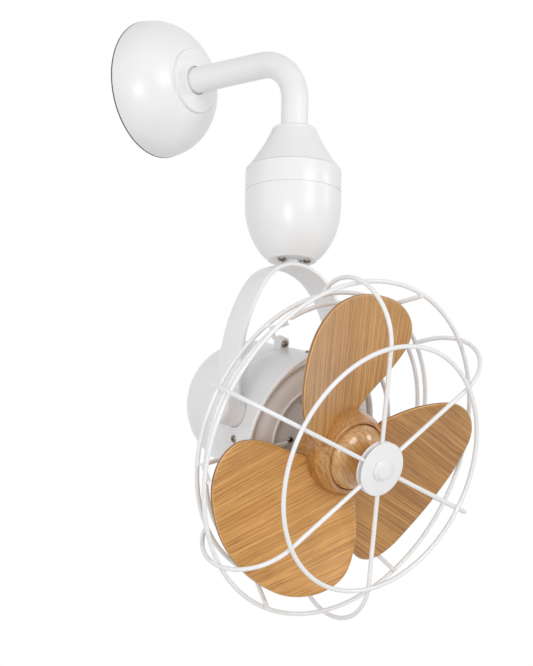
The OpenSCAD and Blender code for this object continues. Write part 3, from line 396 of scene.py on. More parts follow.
@dataclass(frozen=True)
class Veneer(Finish):
    """Straight-grained oak veneer under satin varnish, laid along the blade's own UV map.

    Real pores are 0.2 to 0.3 mm wide; they are drawn 0.6 mm wide so that they show.
    """

    dark: str = "#9a672f"
    light: str = "#d7a566"
    # Painted highlight: a lighter band along the blade's rounded edge
    rim: str = "#dcb27c"
    # Dark brown of the pores, also used as a painted shade line at the very edge
    edge: str = "#7a4a22"
    sway: float = 3
    depth: float = 0.03

    def dress(self, nodes: Nodes) -> None:
        """Adds bands, streaks, pores and a painted highlight and shade along the edge.

        Args:
            nodes: The material's nodes.
        """
        where = nodes.add("ShaderNodeUVMap", {"uv_map": "grain"}).outputs["UV"]
        sway = nodes.grain(where, (90, 30, 30), 1)
        lift = nodes.math("MULTIPLY_ADD", sway, 2 * self.sway / MM, -self.sway / MM)
        offset = nodes.add("ShaderNodeCombineXYZ", {"Y": lift}).outputs[0]
        wavy = nodes.add("ShaderNodeVectorMath", {"operation": "ADD", 0: where,
                                                  1: offset}).outputs[0]
        bands = nodes.grain(wavy, (260, 8, 8), 2)
        streaks = nodes.grain(wavy, (190, 1.5, 2), 3)
        pores = nodes.grain(wavy, (26, 0.6, 1), 1)
        inset = nodes.add("ShaderNodeAttribute", {"attribute_name": "rim"}).outputs["Fac"]
        wood: Socket | str = self.colour
        for pattern, spans, shade in (
                (bands, (0, 1, 0.32, 0.68), self.light),
                (streaks, (0.75, 0, 0.36, 0.56), self.dark),
                (pores, (0.55, 0, 0.31, 0.43), self.edge),
                # Painted highlight and painted shade on the rounded edge: a lighter band, then a
                # dark line at the very edge
                (inset, (0.7, 0, 0.8, 1.7), self.rim),
                (inset, (0.8, 0, 0.15, 0.6), self.edge)):
            wood = nodes.blend(nodes.spread(pattern, *spans), wood, shade)
        nodes.feed("Base Color", wood)
        self.gloss(nodes, streaks, 0.1, 0)
        nodes.emboss(streaks, self.depth)


@dataclass(frozen=True)
class Turned(Finish):
    """Wood turned on a lathe, its grain running across the fan's axis, under glossy varnish."""

    dark: str = "#855321"
    light: str = "#d09a58"
    ring: float = 56.55
    curl: float = 5.0

    def dress(self, nodes: Nodes) -> None:
        """Adds growth rings cut across, and fine streaks.

        Args:
            nodes: The material's nodes.
        """
        where = nodes.in_frame(HEAD)
        board = nodes.mapped(where, Location=(0.004, 0.03, -0.03), Rotation=(0.18, 0.1, 0.7),
                             Scale=(0.45, 1.0, 1.0))
        rings = nodes.rings(board, "X", self.ring, wave_profile="SAW", Distortion=self.curl,
                            **{"Detail": 3.0, "Detail Scale": 1.4})
        across = nodes.mapped(where, Rotation=(0, 0, math.radians(40)))
        streaks = nodes.grain(across, (40, 1.6, 3), 3)
        wood = nodes.blend(nodes.spread(rings, 0, 0.85, 0.1, 0.95), self.light, self.colour)
        wood = nodes.blend(nodes.spread(streaks, 0.55, 0, 0.36, 0.6), wood, self.dark)
        nodes.feed("Base Color", wood)
        self.gloss(nodes, streaks, 0.08, 0)


# Steel pressings under satin white powder coat: soft wide highlights
WHITE = Paint("powder_coated_steel_white", "#f4f4f4", 0.36, coat=0.25, coat_roughness=0.2,
              slot="white_paint")
# The guard's wire, dipped in a thicker, glossier coat
WIRE = Paint("powder_coated_wire_white", "#f4f4f4", 0.32, coat=0.3, coat_roughness=0.18, peel=3.0,
             slot="white_wire")
# The recessed face and cover: a duller grey white, made slightly darker as painted shade for the
# recess
RECESS_SHADED_TAUPE = Paint("recess_taupe_painted_shade", "#ececeb", 0.45, drift="#e5e4e2", slot="taupe_paint")
# Extruded rubber: dark and matt
RUBBER = Moulded("extruded_rubber_dark", "#3d3d40", 0.7, slot="rubber")
# Zinc plate: pale and cool with faint patches
ZINC = Metal("zinc_plated_steel", "#b9bcc0", 0.38, stain="#999da1")
# Nickel-plated screws, warm and bright
NICKEL = Metal("nickel_plated_steel", "#978c7f", 0.3, stain="#6f665b", slot="nickel_screw")
# Die-cast aluminium: grey and grainy
CAST = Metal("die_cast_aluminium", "#a9aaab", 0.55, grain=1.5, depth=0.04, stain="#8d8e90")
# Moulded polyamide of the terminals
BLACK = Moulded("moulded_polyamide_black", "#2b2b2d", 0.55, bloom="#3b3b3f")
# Sintered bronze: warm, matt and porous
BRONZE = Metal("sintered_bronze", "#a97f49", 0.5, grain=1.0, depth=0.04, stain="#7d5c33")
# Acetal gears: creamy with a slight sheen
ACETAL = Moulded("moulded_acetal_cream", "#e6dfcd", 0.35, bloom="#d9d0bb")
# Enamelled copper wire
COPPER = Winding("enamelled_copper_winding", "#b5652a", 0.3, metallic=1.0, coat=0.6)
# Blackened steel of the collar behind the hub
DARK = Metal("blackened_steel_satin", "#4c4744", 0.42, stain="#35312f", slot="dark_metal")
# The hub and its cap: turned beech, stained brown and varnished to a gloss
HUB_WOOD = Turned("turned_beech_varnished", "#b87f3f", 0.3, coat=0.8, coat_roughness=0.08,
                  slot="hub_wood")
CAP_WOOD = Turned("turned_burr_varnished", "#bd8542", 0.28, coat=0.9, coat_roughness=0.07,
                  slot="hub_wood", light="#e6b877", ring=31.42, curl=9.0)
# Stain settled in the hub's glue lines
GLUE_LINE = Moulded("stained_glue_line", "#5a3718", 0.5, bloom="#6b4522")
# The blades' oak veneer: the same wood, a little lighter or darker from board to board
OAKS = [Veneer(f"oak_veneer_satin_{k}", colour, 0.38, coat=0.25, coat_roughness=0.2, slot="oak",
               dark=dark, light=light)
        for k, colour, dark, light in ((1, "#c69152", "#9a672f", "#d7a566"),
                                       (2, "#cf954b", "#a0682a", "#dfa85f"),
                                       (3, "#be8640", "#8f5b24", "#cf9a55"))]

NODE_FINISH: dict[str, Finish] = {name: finish for finish, names in (
    (WHITE, "canopy canopy_collar arm_pipe housing_cap housing_band housing_shell swivel_shaft "
            "yoke_arch pivot_bosses pivot_caps motor_rear_shell motor_front_shell motor_face "
            "guard_discs front_knob"),
    (WIRE, "large_ring front_ring rear_ring inner_rear_ring face_ring long_rods short_rods "
           "spoke_1 spoke_2 spoke_3 spoke_4 spoke_5 spoke_6"),
    (ZINC, "wall_bracket grub_screws pipe_lock_nuts gearmotor pivot_bolts motor_bearings "
           "stator_core motor_shaft rotor_core retaining_ring"),
    (NICKEL, "bottom_screws casing_screws radial_screws face_screws hub_screws"),
    (RUBBER, "canopy_gasket friction_washers"), (BRONZE, "lower_bush upper_bush thrust_washer"),
    (ACETAL, "drive_pinion output_gear"), (RECESS_SHADED_TAUPE, "bearing_cover"), (CAST, "inner_frame"),
    (BLACK, "terminal_block"), (COPPER, "stator_windings"), (DARK, "shaft_collar"),
    (HUB_WOOD, "hub_ring"), (CAP_WOOD, "hub_cap"), (OAKS[0], "blade_1"), (OAKS[1], "blade_2"),
    (OAKS[2], "blade_3")) for name in names.split()}


# Mesh tools


def rounded(corners: Sequence[tuple[float, float, float]], steps: int = 4) -> list[Point]:
    """Rounds the corners of a closed outline.

    Args:
        corners: x, y and rounding radius of each corner.
        steps: Number of straight bits in each rounding.

    Returns:
        The outline's points.
    """
    points: list[Point] = []
    for k, (x, y, radius) in enumerate(corners):
        here = Vector((x, y))
        if radius <= 0:
            points.append((x, y))
            continue
        back = (Vector(corners[k - 1][:2]) - here).normalized()
        ahead = (Vector(corners[(k + 1) % len(corners)][:2]) - here).normalized()
        half = back.angle(ahead) / 2
        start = here + back * (radius / math.tan(half))
        centre = here + (back + ahead).normalized() * (radius / math.sin(half))
        arm = start - centre
        sweep = (math.pi - 2 * half) * (1 if back.cross(ahead) < 0 else -1)
        for angle in spaced(0, sweep, steps):
            points.append((centre.x + arm.x * math.cos(angle) - arm.y * math.sin(angle),
                           centre.y + arm.x * math.sin(angle) + arm.y * math.cos(angle)))
    return points


def arc(centre: Point, radius: float, start: float, end: float, steps: int,
        height: float | None = None) -> list[Point]:
    """Points of an arc of a circle or an upright ellipse.

    Args:
        centre: Its centre.
        radius: Its radius, or an ellipse's radius along x.
        start: First angle in degrees, from +x towards +y.
        end: Last angle.
        steps: Number of straight bits.
        height: An ellipse's radius along y.

    Returns:
        The points, both ends included.
    """
    rise = radius if height is None else height
    return [(centre[0] + radius * cosine(t), centre[1] + rise * sine(t))
            for t in spaced(start, end, steps)]


def circle(radius: float, sides: int) -> list[Point]:
    """Corners of a circle's polygon, from +x towards +y."""
    return arc((0, 0), radius, 0, 360, sides)[:-1]


class Form:
    """A mesh being built, in millimetres."""

    def __init__(self, *meshes: Mesh) -> None:
        """Starts empty or from finished meshes.

        Args:
            *meshes: The meshes, which are used up.
        """
        self.bm = bmesh.new()
        for mesh in meshes:
            self.bm.from_mesh(mesh)
            bpy.data.meshes.remove(mesh)

    def solid(self, verts: Sequence[Vector], faces: Sequence[Sequence[int]],
              place: Matrix | None = None, tints: Sequence[int] = ()) -> None:
        """Adds vertices and faces.

        Args:
            verts: Places of the vertices.
            faces: Vertex numbers of each face.
            place: Where they go in the form's frame.
            tints: Number of each face's material; none is the first.
        """
        made = [self.bm.verts.new(place @ v if place else v) for v in verts]
        for k, corners in enumerate(faces):
            self.bm.faces.new([made[i] for i in corners]).material_index = tints[k] if tints else 0

    def lathe(self, outline: Sequence[Point], place: Matrix | None = None, sides: int = USUAL,
              tint: Callable[[float, float], int] | None = None) -> None:
        """Turns a closed outline round the z axis.

        Args:
            outline: Radius and height of each point; a radius of 0 is a pole.
            place: Where the turned body goes.
            sides: Number of sides.
            tint: Gives the number of a face's material from its radius and height.
        """
        rings: list[list[int]] = []
        verts: list[Vector] = []
        faces: list[Sequence[int]] = []
        tints: list[int] = []
        for r, z in outline:
            pole = r < POLE
            rings.append([len(verts)] * sides if pole else
                         list(range(len(verts), len(verts) + sides)))
            verts += [Vector((x, y, z)) for x, y in ([(0, 0)] if pole else circle(r, sides))]
        for i, ring in enumerate(rings):
            after = rings[(i + 1) % len(rings)]
            (r0, z0), (r1, z1) = outline[i], outline[(i + 1) % len(rings)]
            if max(r0, r1) < POLE:
                continue
            number = tint((r0 + r1) / 2, (z0 + z1) / 2) if tint else 0
            for k in range(sides):
                j = (k + 1) % sides
                faces.append(tuple(dict.fromkeys((ring[k], ring[j], after[j], after[k]))))
                tints.append(number)
        self.solid(verts, faces, place, tints)

    def sweep(self, stations: Sequence[tuple[Vector, Vector, Vector, list[Point]]],
              place: Matrix | None = None, closed: bool = False) -> None:
        """Joins sections along a path.

        Args:
            stations: Each section's middle, its two directions and its points along them.
            place: Where the body goes.
            closed: Whether the last section joins the first; else both ends are closed.
        """
        m, n = len(stations), len(stations[0][3])
        verts = [middle + first * x + second * y
                 for middle, first, second, section in stations for x, y in section]
        faces: list[tuple[int, ...]] = []
        for i in range(m if closed else m - 1):
            a, b = i * n, (i + 1) % m * n
            faces += [(a + k, a + (k + 1) % n, b + (k + 1) % n, b + k) for k in range(n)]
        if not closed:
            faces += [tuple(range(n)), tuple(range((m - 1) * n, m * n))]
        self.solid(verts, faces, place)

    def mesh(self, place: Matrix | None = None, crease: float = 32) -> Mesh:
        """Closes the form and turns it into a mesh with smooth faces and sharp creases.

        Args:
            place: Frame that the form is in; none leaves it in millimetres.
            crease: Angle in degrees above which an edge is sharp.

        Returns:
            The mesh.
        """
        bmesh.ops.remove_doubles(self.bm, verts=self.bm.verts, dist=1e-4)
        bmesh.ops.recalc_face_normals(self.bm, faces=self.bm.faces)
        mesh = bpy.data.meshes.new("form")
        self.bm.to_mesh(mesh)
        self.bm.free()
        if place:
            mesh.transform(METRES @ place)
        mesh.shade_smooth()
        mesh.set_sharp_from_angle(angle=math.radians(crease))
        return mesh


def evaluated(host: Mesh, kind: str, settings: dict[str, Any],
              inputs: dict[str, Any] | None = None) -> Mesh:
    """Runs one modifier on a mesh.

    Args:
        host: The mesh, which is used up.
        kind: The modifier's type.
        settings: The modifier's own settings.
        inputs: The inputs of its node tree by their identifiers.

    Returns:
        The plain mesh that comes out.
    """
    holder = bpy.data.objects.new("holder", host)
    modifier = holder.modifiers.new("step", kind)
    for key, value in settings.items():
        setattr(modifier, key, value)
    for key, value in (inputs or {}).items():
        modifier[key] = value
    bpy.context.scene.collection.objects.link(holder)
    graph = bpy.context.evaluated_depsgraph_get()
    mesh = bpy.data.meshes.new_from_object(holder.evaluated_get(graph), depsgraph=graph)
    holder.modifiers.clear()
    bpy.data.objects.remove(holder)
    bpy.data.meshes.remove(host)
    return mesh


def cut(host: Mesh, cutter: Mesh) -> Mesh:
    """Cuts one closed mesh out of another.

    Args:
        host: The mesh that is cut, which is used up.
        cutter: What is cut out of it, which is used up.

    Returns:
        What is left of the host.
    """
    tool = linked("cutter", cutter)
    mesh = evaluated(host, "BOOLEAN", {"operation": "DIFFERENCE", "solver": "EXACT",
                                       "object": tool})
    bpy.data.objects.remove(tool)
    bpy.data.meshes.remove(cutter)
    return mesh


class Repeat(Enum):
    """What a round array repeats about the fan's axis."""

    WIRE = "wire"
    BEADS = "beads"
    BODY = "body"


def round_array_tree(repeat: Repeat) -> bpy.types.NodeTree:
    """Makes the tree that turns a path, points or a body into copies round the z axis.

    Args:
        repeat: What the host mesh stands for.

    Returns:
        The tree, made once for each kind.
    """
    name = f"round_array_{repeat.value}"
    tree = bpy.data.node_groups.get(name)
    if tree:
        return tree
    tree = bpy.data.node_groups.new(name, "GeometryNodeTree")
    for label, kind in (("Geometry", "Geometry"), ("Radius", "Float"), ("Sides", "Int"),
                        ("Copies", "Int"), ("First Turn", "Float"), ("Turn Step", "Float"),
                        ("Finish", "Material")):
        tree.interface.new_socket(label, in_out="INPUT", socket_type=f"NodeSocket{kind}")
    tree.interface.new_socket("Geometry", in_out="OUTPUT", socket_type="NodeSocketGeometry")
    nodes = Nodes(tree)

    def step(kind: str, values: dict[str | int, Any] | None = None) -> Socket:
        """Adds a node and gives its first output."""
        return nodes.add(kind, values).outputs[0]

    given = nodes.add("NodeGroupInput").outputs
    body = given["Geometry"]
    if repeat is Repeat.WIRE:
        taper = nodes.add("GeometryNodeInputNamedAttribute",
                          {"data_type": "FLOAT", "Name": "taper"}).outputs["Attribute"]
        path = step("GeometryNodeMeshToCurve", {"Mesh": body})
        thick = step("GeometryNodeSetCurveRadius", {"Curve": path, "Radius": taper})
        section = step("GeometryNodeCurvePrimitiveCircle",
                       {"Resolution": given["Sides"], "Radius": given["Radius"]})
        body = step("GeometryNodeCurveToMesh", {"Fill Caps": True, "Curve": thick,
                                                "Profile Curve": section})
    elif repeat is Repeat.BEADS:
        drop = step("GeometryNodeMeshIcoSphere", {"Subdivisions": 2, "Radius": given["Radius"]})
        body = step("GeometryNodeInstanceOnPoints", {"Points": body, "Instance": drop})
    angle = nodes.math("MULTIPLY_ADD", step("GeometryNodeInputIndex"), given["Turn Step"],
                       given["First Turn"])
    facing = step("FunctionNodeEulerToRotation", {0: step("ShaderNodeCombineXYZ", {"Z": angle})})
    copies = step("GeometryNodeInstanceOnPoints",
                  {"Points": step("GeometryNodePoints", {"Count": given["Copies"]}),
                   "Instance": body, "Rotation": facing})
    done = step("GeometryNodeSetMaterial",
                {"Geometry": step("GeometryNodeRealizeInstances", {0: copies}),
                 "Material": given["Finish"]})
    nodes.add("NodeGroupOutput", {0: done})
    return tree


def round_array(host: Mesh, repeat: Repeat, finish: Finish, copies: int = 1, first: float = 0.0,
                radius: float = 1.0, sides: int = 20) -> Mesh:
    """Repeats a host mesh evenly round the z axis.

    Args:
        host: A path, points or a body in millimetres, which is used up.
        repeat: What the host is.
        finish: The finish of the result.
        copies: Number of copies.
        first: Turn of the first copy in degrees.
        radius: Radius of the wire or of a bead.
        sides: Sides of the wire's section.

    Returns:
        The copies as one plain mesh.
    """
    tree = round_array_tree(repeat)
    values = {"Radius": radius, "Sides": sides, "Copies": copies,
              "First Turn": math.radians(first), "Turn Step": math.radians(360 / copies),
              "Finish": finish.material()}
    inputs = {item.identifier: values[item.name] for item in tree.interface.items_tree
              if item.item_type == "SOCKET" and item.in_out == "INPUT" and item.name in values}
    return evaluated(host, "NODES", {"node_group": tree}, inputs)


def path_mesh(points: Sequence[Vector], closed: bool = False,
              tapers: Sequence[float] | None = None) -> Mesh:
    """Makes a path for a wire, or points for beads.

    Args:
        points: The wire's middle line.
        closed: Whether the last point joins the first.
        tapers: Share of the wire's radius at each point; none is 1 all along.

    Returns:
        A mesh of edges with the tapers as an attribute.
    """
    count = len(points)
    edges = [(k, (k + 1) % count) for k in range(count if closed else count - 1)]
    mesh = bpy.data.meshes.new("path")
    mesh.from_pydata([tuple(p) for p in points], edges, [])
    layer = mesh.attributes.new("taper", "FLOAT", "POINT")
    layer.data.foreach_set("value", list(tapers or [1.0] * count))
    return mesh


def round_ended(line: list[Vector], radius: float) -> Mesh:
    """Makes a path for a wire whose first end is a dome.

    Args:
        line: The wire's middle line.
        radius: The wire's radius.

    Returns:
        The path.
    """
    ahead = (line[1] - line[0]).normalized()
    angles = (4, 20, 40, 60, 78, 90)
    dome = [line[0] + ahead * radius * (1 - cosine(a)) for a in angles]
    return path_mesh(dome + line[1:],
                     tapers=[sine(a) for a in angles] + [1.0] * (len(line) - 1))


def screw_ring(size: tuple[float, float, float, float], place: Matrix, copies: int, first: float
               ) -> Mesh:
    """Makes cross-recess screws in a ring round the z axis.

    Args:
        size: The head's radius and height, the shank's radius and length.
        place: Where the first one stands before its turn; its shank is below that plane.
        copies: Number of screws.
        first: Turn of the first one in degrees.

    Returns:
        The screws in millimetres.
    """
    head_r, head_h, shank_r, shank_l = size
    form = Form()
    form.lathe(rounded([(0, -shank_l, 0), (shank_r, -shank_l, 0.3), (shank_r, 0, 0),
                        (head_r, 0, 0), (head_r, 0.5 * head_h, 0.35 * head_h),
                        (0.72 * head_r, head_h, 0.8), (0, head_h, 0)]), sides=32)
    body = form.mesh()
    long, wide, low, narrowing = 0.62 * head_r, 0.13 * head_r, 0.35 * head_h, 0.62
    verts = [Vector((sx * long * s, sy * wide * s, z))
             for s, z in ((narrowing, low), (1, head_h + 1))
             for sx, sy in ((-1, -1), (1, -1), (1, 1), (-1, 1))]
    faces = [(0, 3, 2, 1), (4, 5, 6, 7), (0, 1, 5, 4), (1, 2, 6, 5), (2, 3, 7, 6), (3, 0, 4, 7)]
    for turn in (0, 90):
        arm = Form()
        arm.solid(verts, faces, turned(turn, "Z"))
        body = cut(body, arm.mesh())
    body.transform(place)
    return round_array(body, Repeat.BODY, NICKEL, copies, first)


# Sub-assemblies


class Assembly:
    """A group of pieces that share a frame and a body."""

    place: ClassVar[Matrix]
    body: ClassVar[str]

    def put(self, name: str, form: Form, nodes: str, *finishes: Finish, turn: float = 0.0,
            crease: float = 32) -> None:
        """Puts a form into the scene as a piece on its body.

        Args:
            name: Name of the piece.
            form: Its form in the assembly's frame.
            nodes: The CAD nodes that it stands for.
            finishes: Its finishes in the order of its material numbers.
            turn: Its turn about the frame's z axis in degrees.
            crease: Angle in degrees above which an edge is sharp.
        """
        mesh = form.mesh(self.place @ turned(turn, "Z"), crease)
        mesh.name = name
        mesh.materials.clear()
        for finish in finishes:
            mesh.materials.append(finish.material())
        made = linked(name, mesh)
        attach(made, self.body)
        if nodes:
            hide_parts(*nodes.split())
        LOG.info("%s: %d faces on %s, for %s", name, len(mesh.polygons), self.body,
                 nodes or "no node")

    def turn(self, name: str, outline: Sequence[Point], nodes: str, *finishes: Finish,
             sides: int = USUAL, tint: Callable[[float, float], int] | None = None) -> None:
        """Builds a piece that is one turned body.

        Args:
            name: Name of the piece.
            outline: Radius and height of each point.
            nodes: The CAD nodes that it stands for.
            finishes: Its finishes in the order of its material numbers.
            sides: Number of sides.
            tint: Gives the number of a face's material from its radius and height.
        """
        form = Form()
        form.lathe(outline, sides=sides, tint=tint)
        self.put(name, form, nodes, *finishes)


@dataclass
class WallMount(Assembly):
    """The gasket, the domed canopy and the collar disc at the wall."""

    place: ClassVar[Matrix] = WALL
    body: ClassVar[str] = "arm"
    canopy_r: float = 74
    gasket_t: float = 1.5
    gasket_w: float = 4
    gasket_lap: float = 0.3
    depth: float = 51
    bulge: float = 60
    wall: float = 2.5
    hole_r: float = 15.6
    collar_r: float = 34.6
    collar_t: float = 4
    seat_t: float = 0.5

    def gasket(self) -> None:
        """Builds the dark rubber ring."""
        inner, outer = self.canopy_r - self.gasket_w, self.canopy_r + self.gasket_lap
        self.turn("gasket_ring", rounded([(inner, 0, 0.3), (outer, 0, 0.3),
                  (outer, self.gasket_t, 0.4), (inner, self.gasket_t, 0.3)]), "canopy_gasket",
                  RUBBER)

    def dome(self) -> None:
        """Builds the canopy as a thin spun shell."""
        def curve(rim: float, bulge: float, depth: float) -> list[Point]:
            """An ellipse from the rim to the flat front."""
            heights = [depth * sine(t) for t in spaced(0, 90, 36)]
            return [(rim * math.sqrt(1 - (d / bulge) ** 2), self.gasket_t + d) for d in heights]

        outer = curve(self.canopy_r, self.bulge, self.depth)
        inner = curve(self.canopy_r - self.wall, self.bulge - self.wall, self.depth - self.wall)
        self.turn("canopy_dome", [*outer, (self.hole_r, outer[-1][1]), (self.hole_r, inner[-1][1]),
                  *reversed(inner)], "canopy", WHITE, sides=BROAD)

    def collar(self) -> None:
        """Builds the disc round the tube, with a dark gap between them."""
        low = self.gasket_t + self.depth
        seat, top = low + self.seat_t, low + self.collar_t
        self.turn("collar_disc", rounded([
            (SEAT_R, low, 0), (self.collar_r, low, 0.3), (self.collar_r, top, 1.1),
            (self.hole_r, top, 0.25), (self.hole_r, seat, 0), (SEAT_R, seat, 0)]),
            "canopy_collar", WHITE)

    def build(self) -> None:
        """Builds the wall's pieces."""
        self.gasket()
        self.dome()
        self.collar()


@dataclass
class Arm(Assembly):
    """The bent tube that carries everything."""

    place: ClassVar[Matrix] = Matrix.Identity(4)
    body: ClassVar[str] = "arm"
    r: float = 14
    wall: float = 2
    reach: float = 187
    bend: float = 45
    start: float = 2.5
    end: float = -110

    def build(self) -> None:
        """Builds the tube with its bore."""
        line = [(y - self.reach + self.bend, z - self.bend, 90 - t) for t, (y, z) in
                zip(spaced(90, 0, 32), arc((0, 0), self.bend, 90, 180, 32))]
        line = [(-self.start, 0, 0), *line, (-self.reach, self.end, 90)]
        across = Vector((1, 0, 0))
        layers = [[(Vector((0, y, z)), across, Vector((0, sine(t), -cosine(t))),
                    circle(radius, SMALL)) for y, z, t in line]
                  for radius in (self.r, self.r - self.wall)]
        form = Form()
        form.sweep(layers[0] + layers[1][::-1], closed=True)
        self.put("arm_tube", form, "arm_pipe", WHITE)


@dataclass
class Housing(Assembly):
    """The egg-shaped swivel housing: cap, band, shell and its screws."""

    place: ClassVar[Matrix] = SWIVEL
    body: ClassVar[str] = "arm"
    top: float = -76.5
    shoulder_r: float = 23.5
    shoulder: float = 3.5
    seat_end: float = -98.5
    socket_r: float = 18
    cap_rim_r: float = 48.6
    cap_bottom: float = -121.4
    shadow_line: float = 0.55
    band_r: float = 49.2
    band_bottom: float = -145.6
    curve_top: float = -158
    bulge: float = 67.5
    bottom: float = -217.5
    bottom_t: float = 2.6
    shaft_hole_r: float = 10.35
    wall: float = 2.5
    screw_pos: float = 15.5
    screw_turn: float = 54

    def flare(self, z: float) -> float:
        """Radius of the cap's flare at a height."""
        u = (self.top - self.shoulder - z) / (self.top - self.shoulder - self.cap_bottom)
        return self.shoulder_r + (self.cap_rim_r - self.shoulder_r) * (0.72 * u + 0.28 * u * u)

    def shell_r(self, z: float) -> float:
        """Radius of the shell at a height."""
        drop = max(0.0, self.curve_top - z)
        return self.band_r * math.sqrt(1 - (drop / self.bulge) ** 2)

    def cap(self) -> None:
        """Builds the flared cap, its lower edge turned in to a thin shadow line."""
        low, rim = self.cap_bottom, self.cap_rim_r
        centre = (self.shoulder_r - self.shoulder, self.top - self.shoulder)
        outer = arc(centre, self.shoulder, 90, 0, 10)
        outer += [(self.flare(z), z) for z in spaced(centre[1], low + 0.9, 24)[1:]]
        under = [(r - self.wall, z) for r, z in reversed(outer[14:])]
        self.turn("swivel_cap", [
            (SEAT_R, self.top), *outer, (rim - 0.5, low + self.shadow_line),
            (rim - 1.6, low + self.shadow_line), (rim - 1.6, low), (rim - 3, low), *under,
            (self.socket_r, under[-1][1]), (self.socket_r, self.seat_end),
            (SEAT_R, self.seat_end)], "housing_cap", WHITE, sides=BROAD)

    def band(self) -> None:
        """Builds the straight band between the two seams."""
        low, high, r = self.band_bottom, self.cap_bottom, self.band_r
        self.turn("swivel_band", rounded([
            (r - 5, high, 0), (r, high, 0.6), (r, low + 0.4, 0.35), (r - 0.8, low + 0.4, 0),
            (r - 0.8, low, 0), (r - 2.6, low, 0), (r - 2.6, low - 4.5, 0), (r - 5, low - 4.5, 0)]),
            "housing_band", WHITE, sides=BROAD)

    def shell(self) -> None:
        """Builds the egg-shaped lower shell."""
        low, high, r = self.bottom, self.band_bottom, self.band_r
        heights = [self.curve_top - (self.curve_top - low - 1.6) * sine(t)
                   for t in spaced(0, 90, 32)]
        last = self.shell_r(heights[-1])
        corner = [(last - 0.25, low + 0.95), (last - 0.9, low + 0.4), (last - 1.9, low + 0.1),
                  (last - 3.2, low)]
        inner = [(self.shell_r(z) - self.wall, z) for z in heights if z > low + 4]
        self.turn("swivel_shell", [
            (r - 0.4, high), (r, high - 0.4), *((self.shell_r(z), z) for z in heights), *corner,
            (self.shaft_hole_r + 0.4, low), (self.shaft_hole_r, low + 0.4),
            (self.shaft_hole_r, low + self.bottom_t), (inner[-1][0], low + self.bottom_t),
            *reversed(inner), (r - self.wall, high)], "housing_shell", WHITE, sides=BROAD)

    def build(self) -> None:
        """Builds the housing's pieces; its screws point down."""
        self.cap()
        self.band()
        self.shell()
        under = moved(self.screw_pos, 0, self.bottom) @ turned(180, "X")
        self.put("shell_screws", Form(screw_ring((4, 2.4, 2, 8), under, 3, self.screw_turn)),
                 "bottom_screws", NICKEL)


@dataclass
class Yoke(Assembly):
    """The strip arch with its bosses and caps."""

    place: ClassVar[Matrix] = YOKE
    body: ClassVar[str] = "yoke"
    crown_r: float = 64
    crown_z: float = -288
    crown_angle: float = 55
    flank_r: float = 185.65
    flank_x: float = -99.65
    flank_z: float = -357.775
    half: float = 86
    pivot_z: float = -386
    width: float = 30
    thick: float = 4
    boss_r: float = 15
    boss_end: float = 70.3
    bolt_r: float = 5.05
    cap_end: float = 102
    cap_wall: float = 2
    cap_t: float = 3

    def line(self) -> list[tuple[float, float, float]]:
        """Draws the strip's middle line from the crown to one arm's end.

        Returns:
            x, z and the slope in degrees at each place.
        """
        places = [(self.crown_r * sine(t), self.crown_z + self.crown_r * cosine(t), t)
                  for t in spaced(0, self.crown_angle, 28)]
        places += [(self.flank_x + self.flank_r * sine(t), self.flank_z + self.flank_r * cosine(t),
                    t) for t in spaced(self.crown_angle, 90, 24)[1:]]
        places.append((self.half, self.pivot_z + 8, 90))
        return places + [(self.half, self.pivot_z - self.width / 2 * sine(a), 90)
                         for a in (0, 15, 30, 45, 58, 70, 80, 87)]

    def arch(self) -> None:
        """Builds the strip with rounded edges and round ends."""
        right = self.line()
        half_t = self.thick / 2
        stations = []
        for x, z, t in [(-x, z, -t) for x, z, t in reversed(right[1:])] + right:
            below = max(0.0, self.pivot_z - z)
            half_w = math.sqrt(max(0.25, (self.width / 2) ** 2 - below ** 2))
            soft = min(1.3, half_w * 0.6)
            section = rounded([(half_t, -half_w, soft), (half_t, half_w, soft),
                               (-half_t, half_w, soft), (-half_t, -half_w, soft)])
            stations.append((Vector((x, 0, z)), Vector((sine(t), 0, cosine(t))),
                             Vector((0, 1, 0)), section))
        form = Form()
        form.sweep(stations)
        self.put("yoke_strip", form, "yoke_arch", WHITE)

    def bosses(self) -> None:
        """Builds the bosses inside the arms and the caps outside."""
        r, inner_r = self.boss_r, self.boss_r - self.cap_wall
        near, far = self.half - self.thick / 2, self.half + self.thick / 2
        floor = self.cap_end - self.cap_t
        boss = rounded([(self.bolt_r, self.boss_end, 0), (r, self.boss_end, 0.8), (r, near, 0.4),
                        (self.bolt_r, near, 0)])
        cap = rounded([(inner_r, far, 0), (r, far, 0.5), (r, self.cap_end, 3),
                       (0, self.cap_end, 0), (0, floor, 0), (inner_r, floor, 0)], 8)
        for name, outline, nodes in (("pivot_boss_pair", boss, "pivot_bosses"),
                                     ("pivot_cap_pair", cap, "pivot_caps")):
            form = Form()
            for side in (0, 180):
                form.lathe(outline, moved(0, 0, self.pivot_z) @ turned(side, "Z")
                           @ turned(90, "Y"), SMALL)
            self.put(name, form, nodes, WHITE)

    def build(self) -> None:
        """Builds the yoke's pieces."""
        self.arch()
        self.bosses()


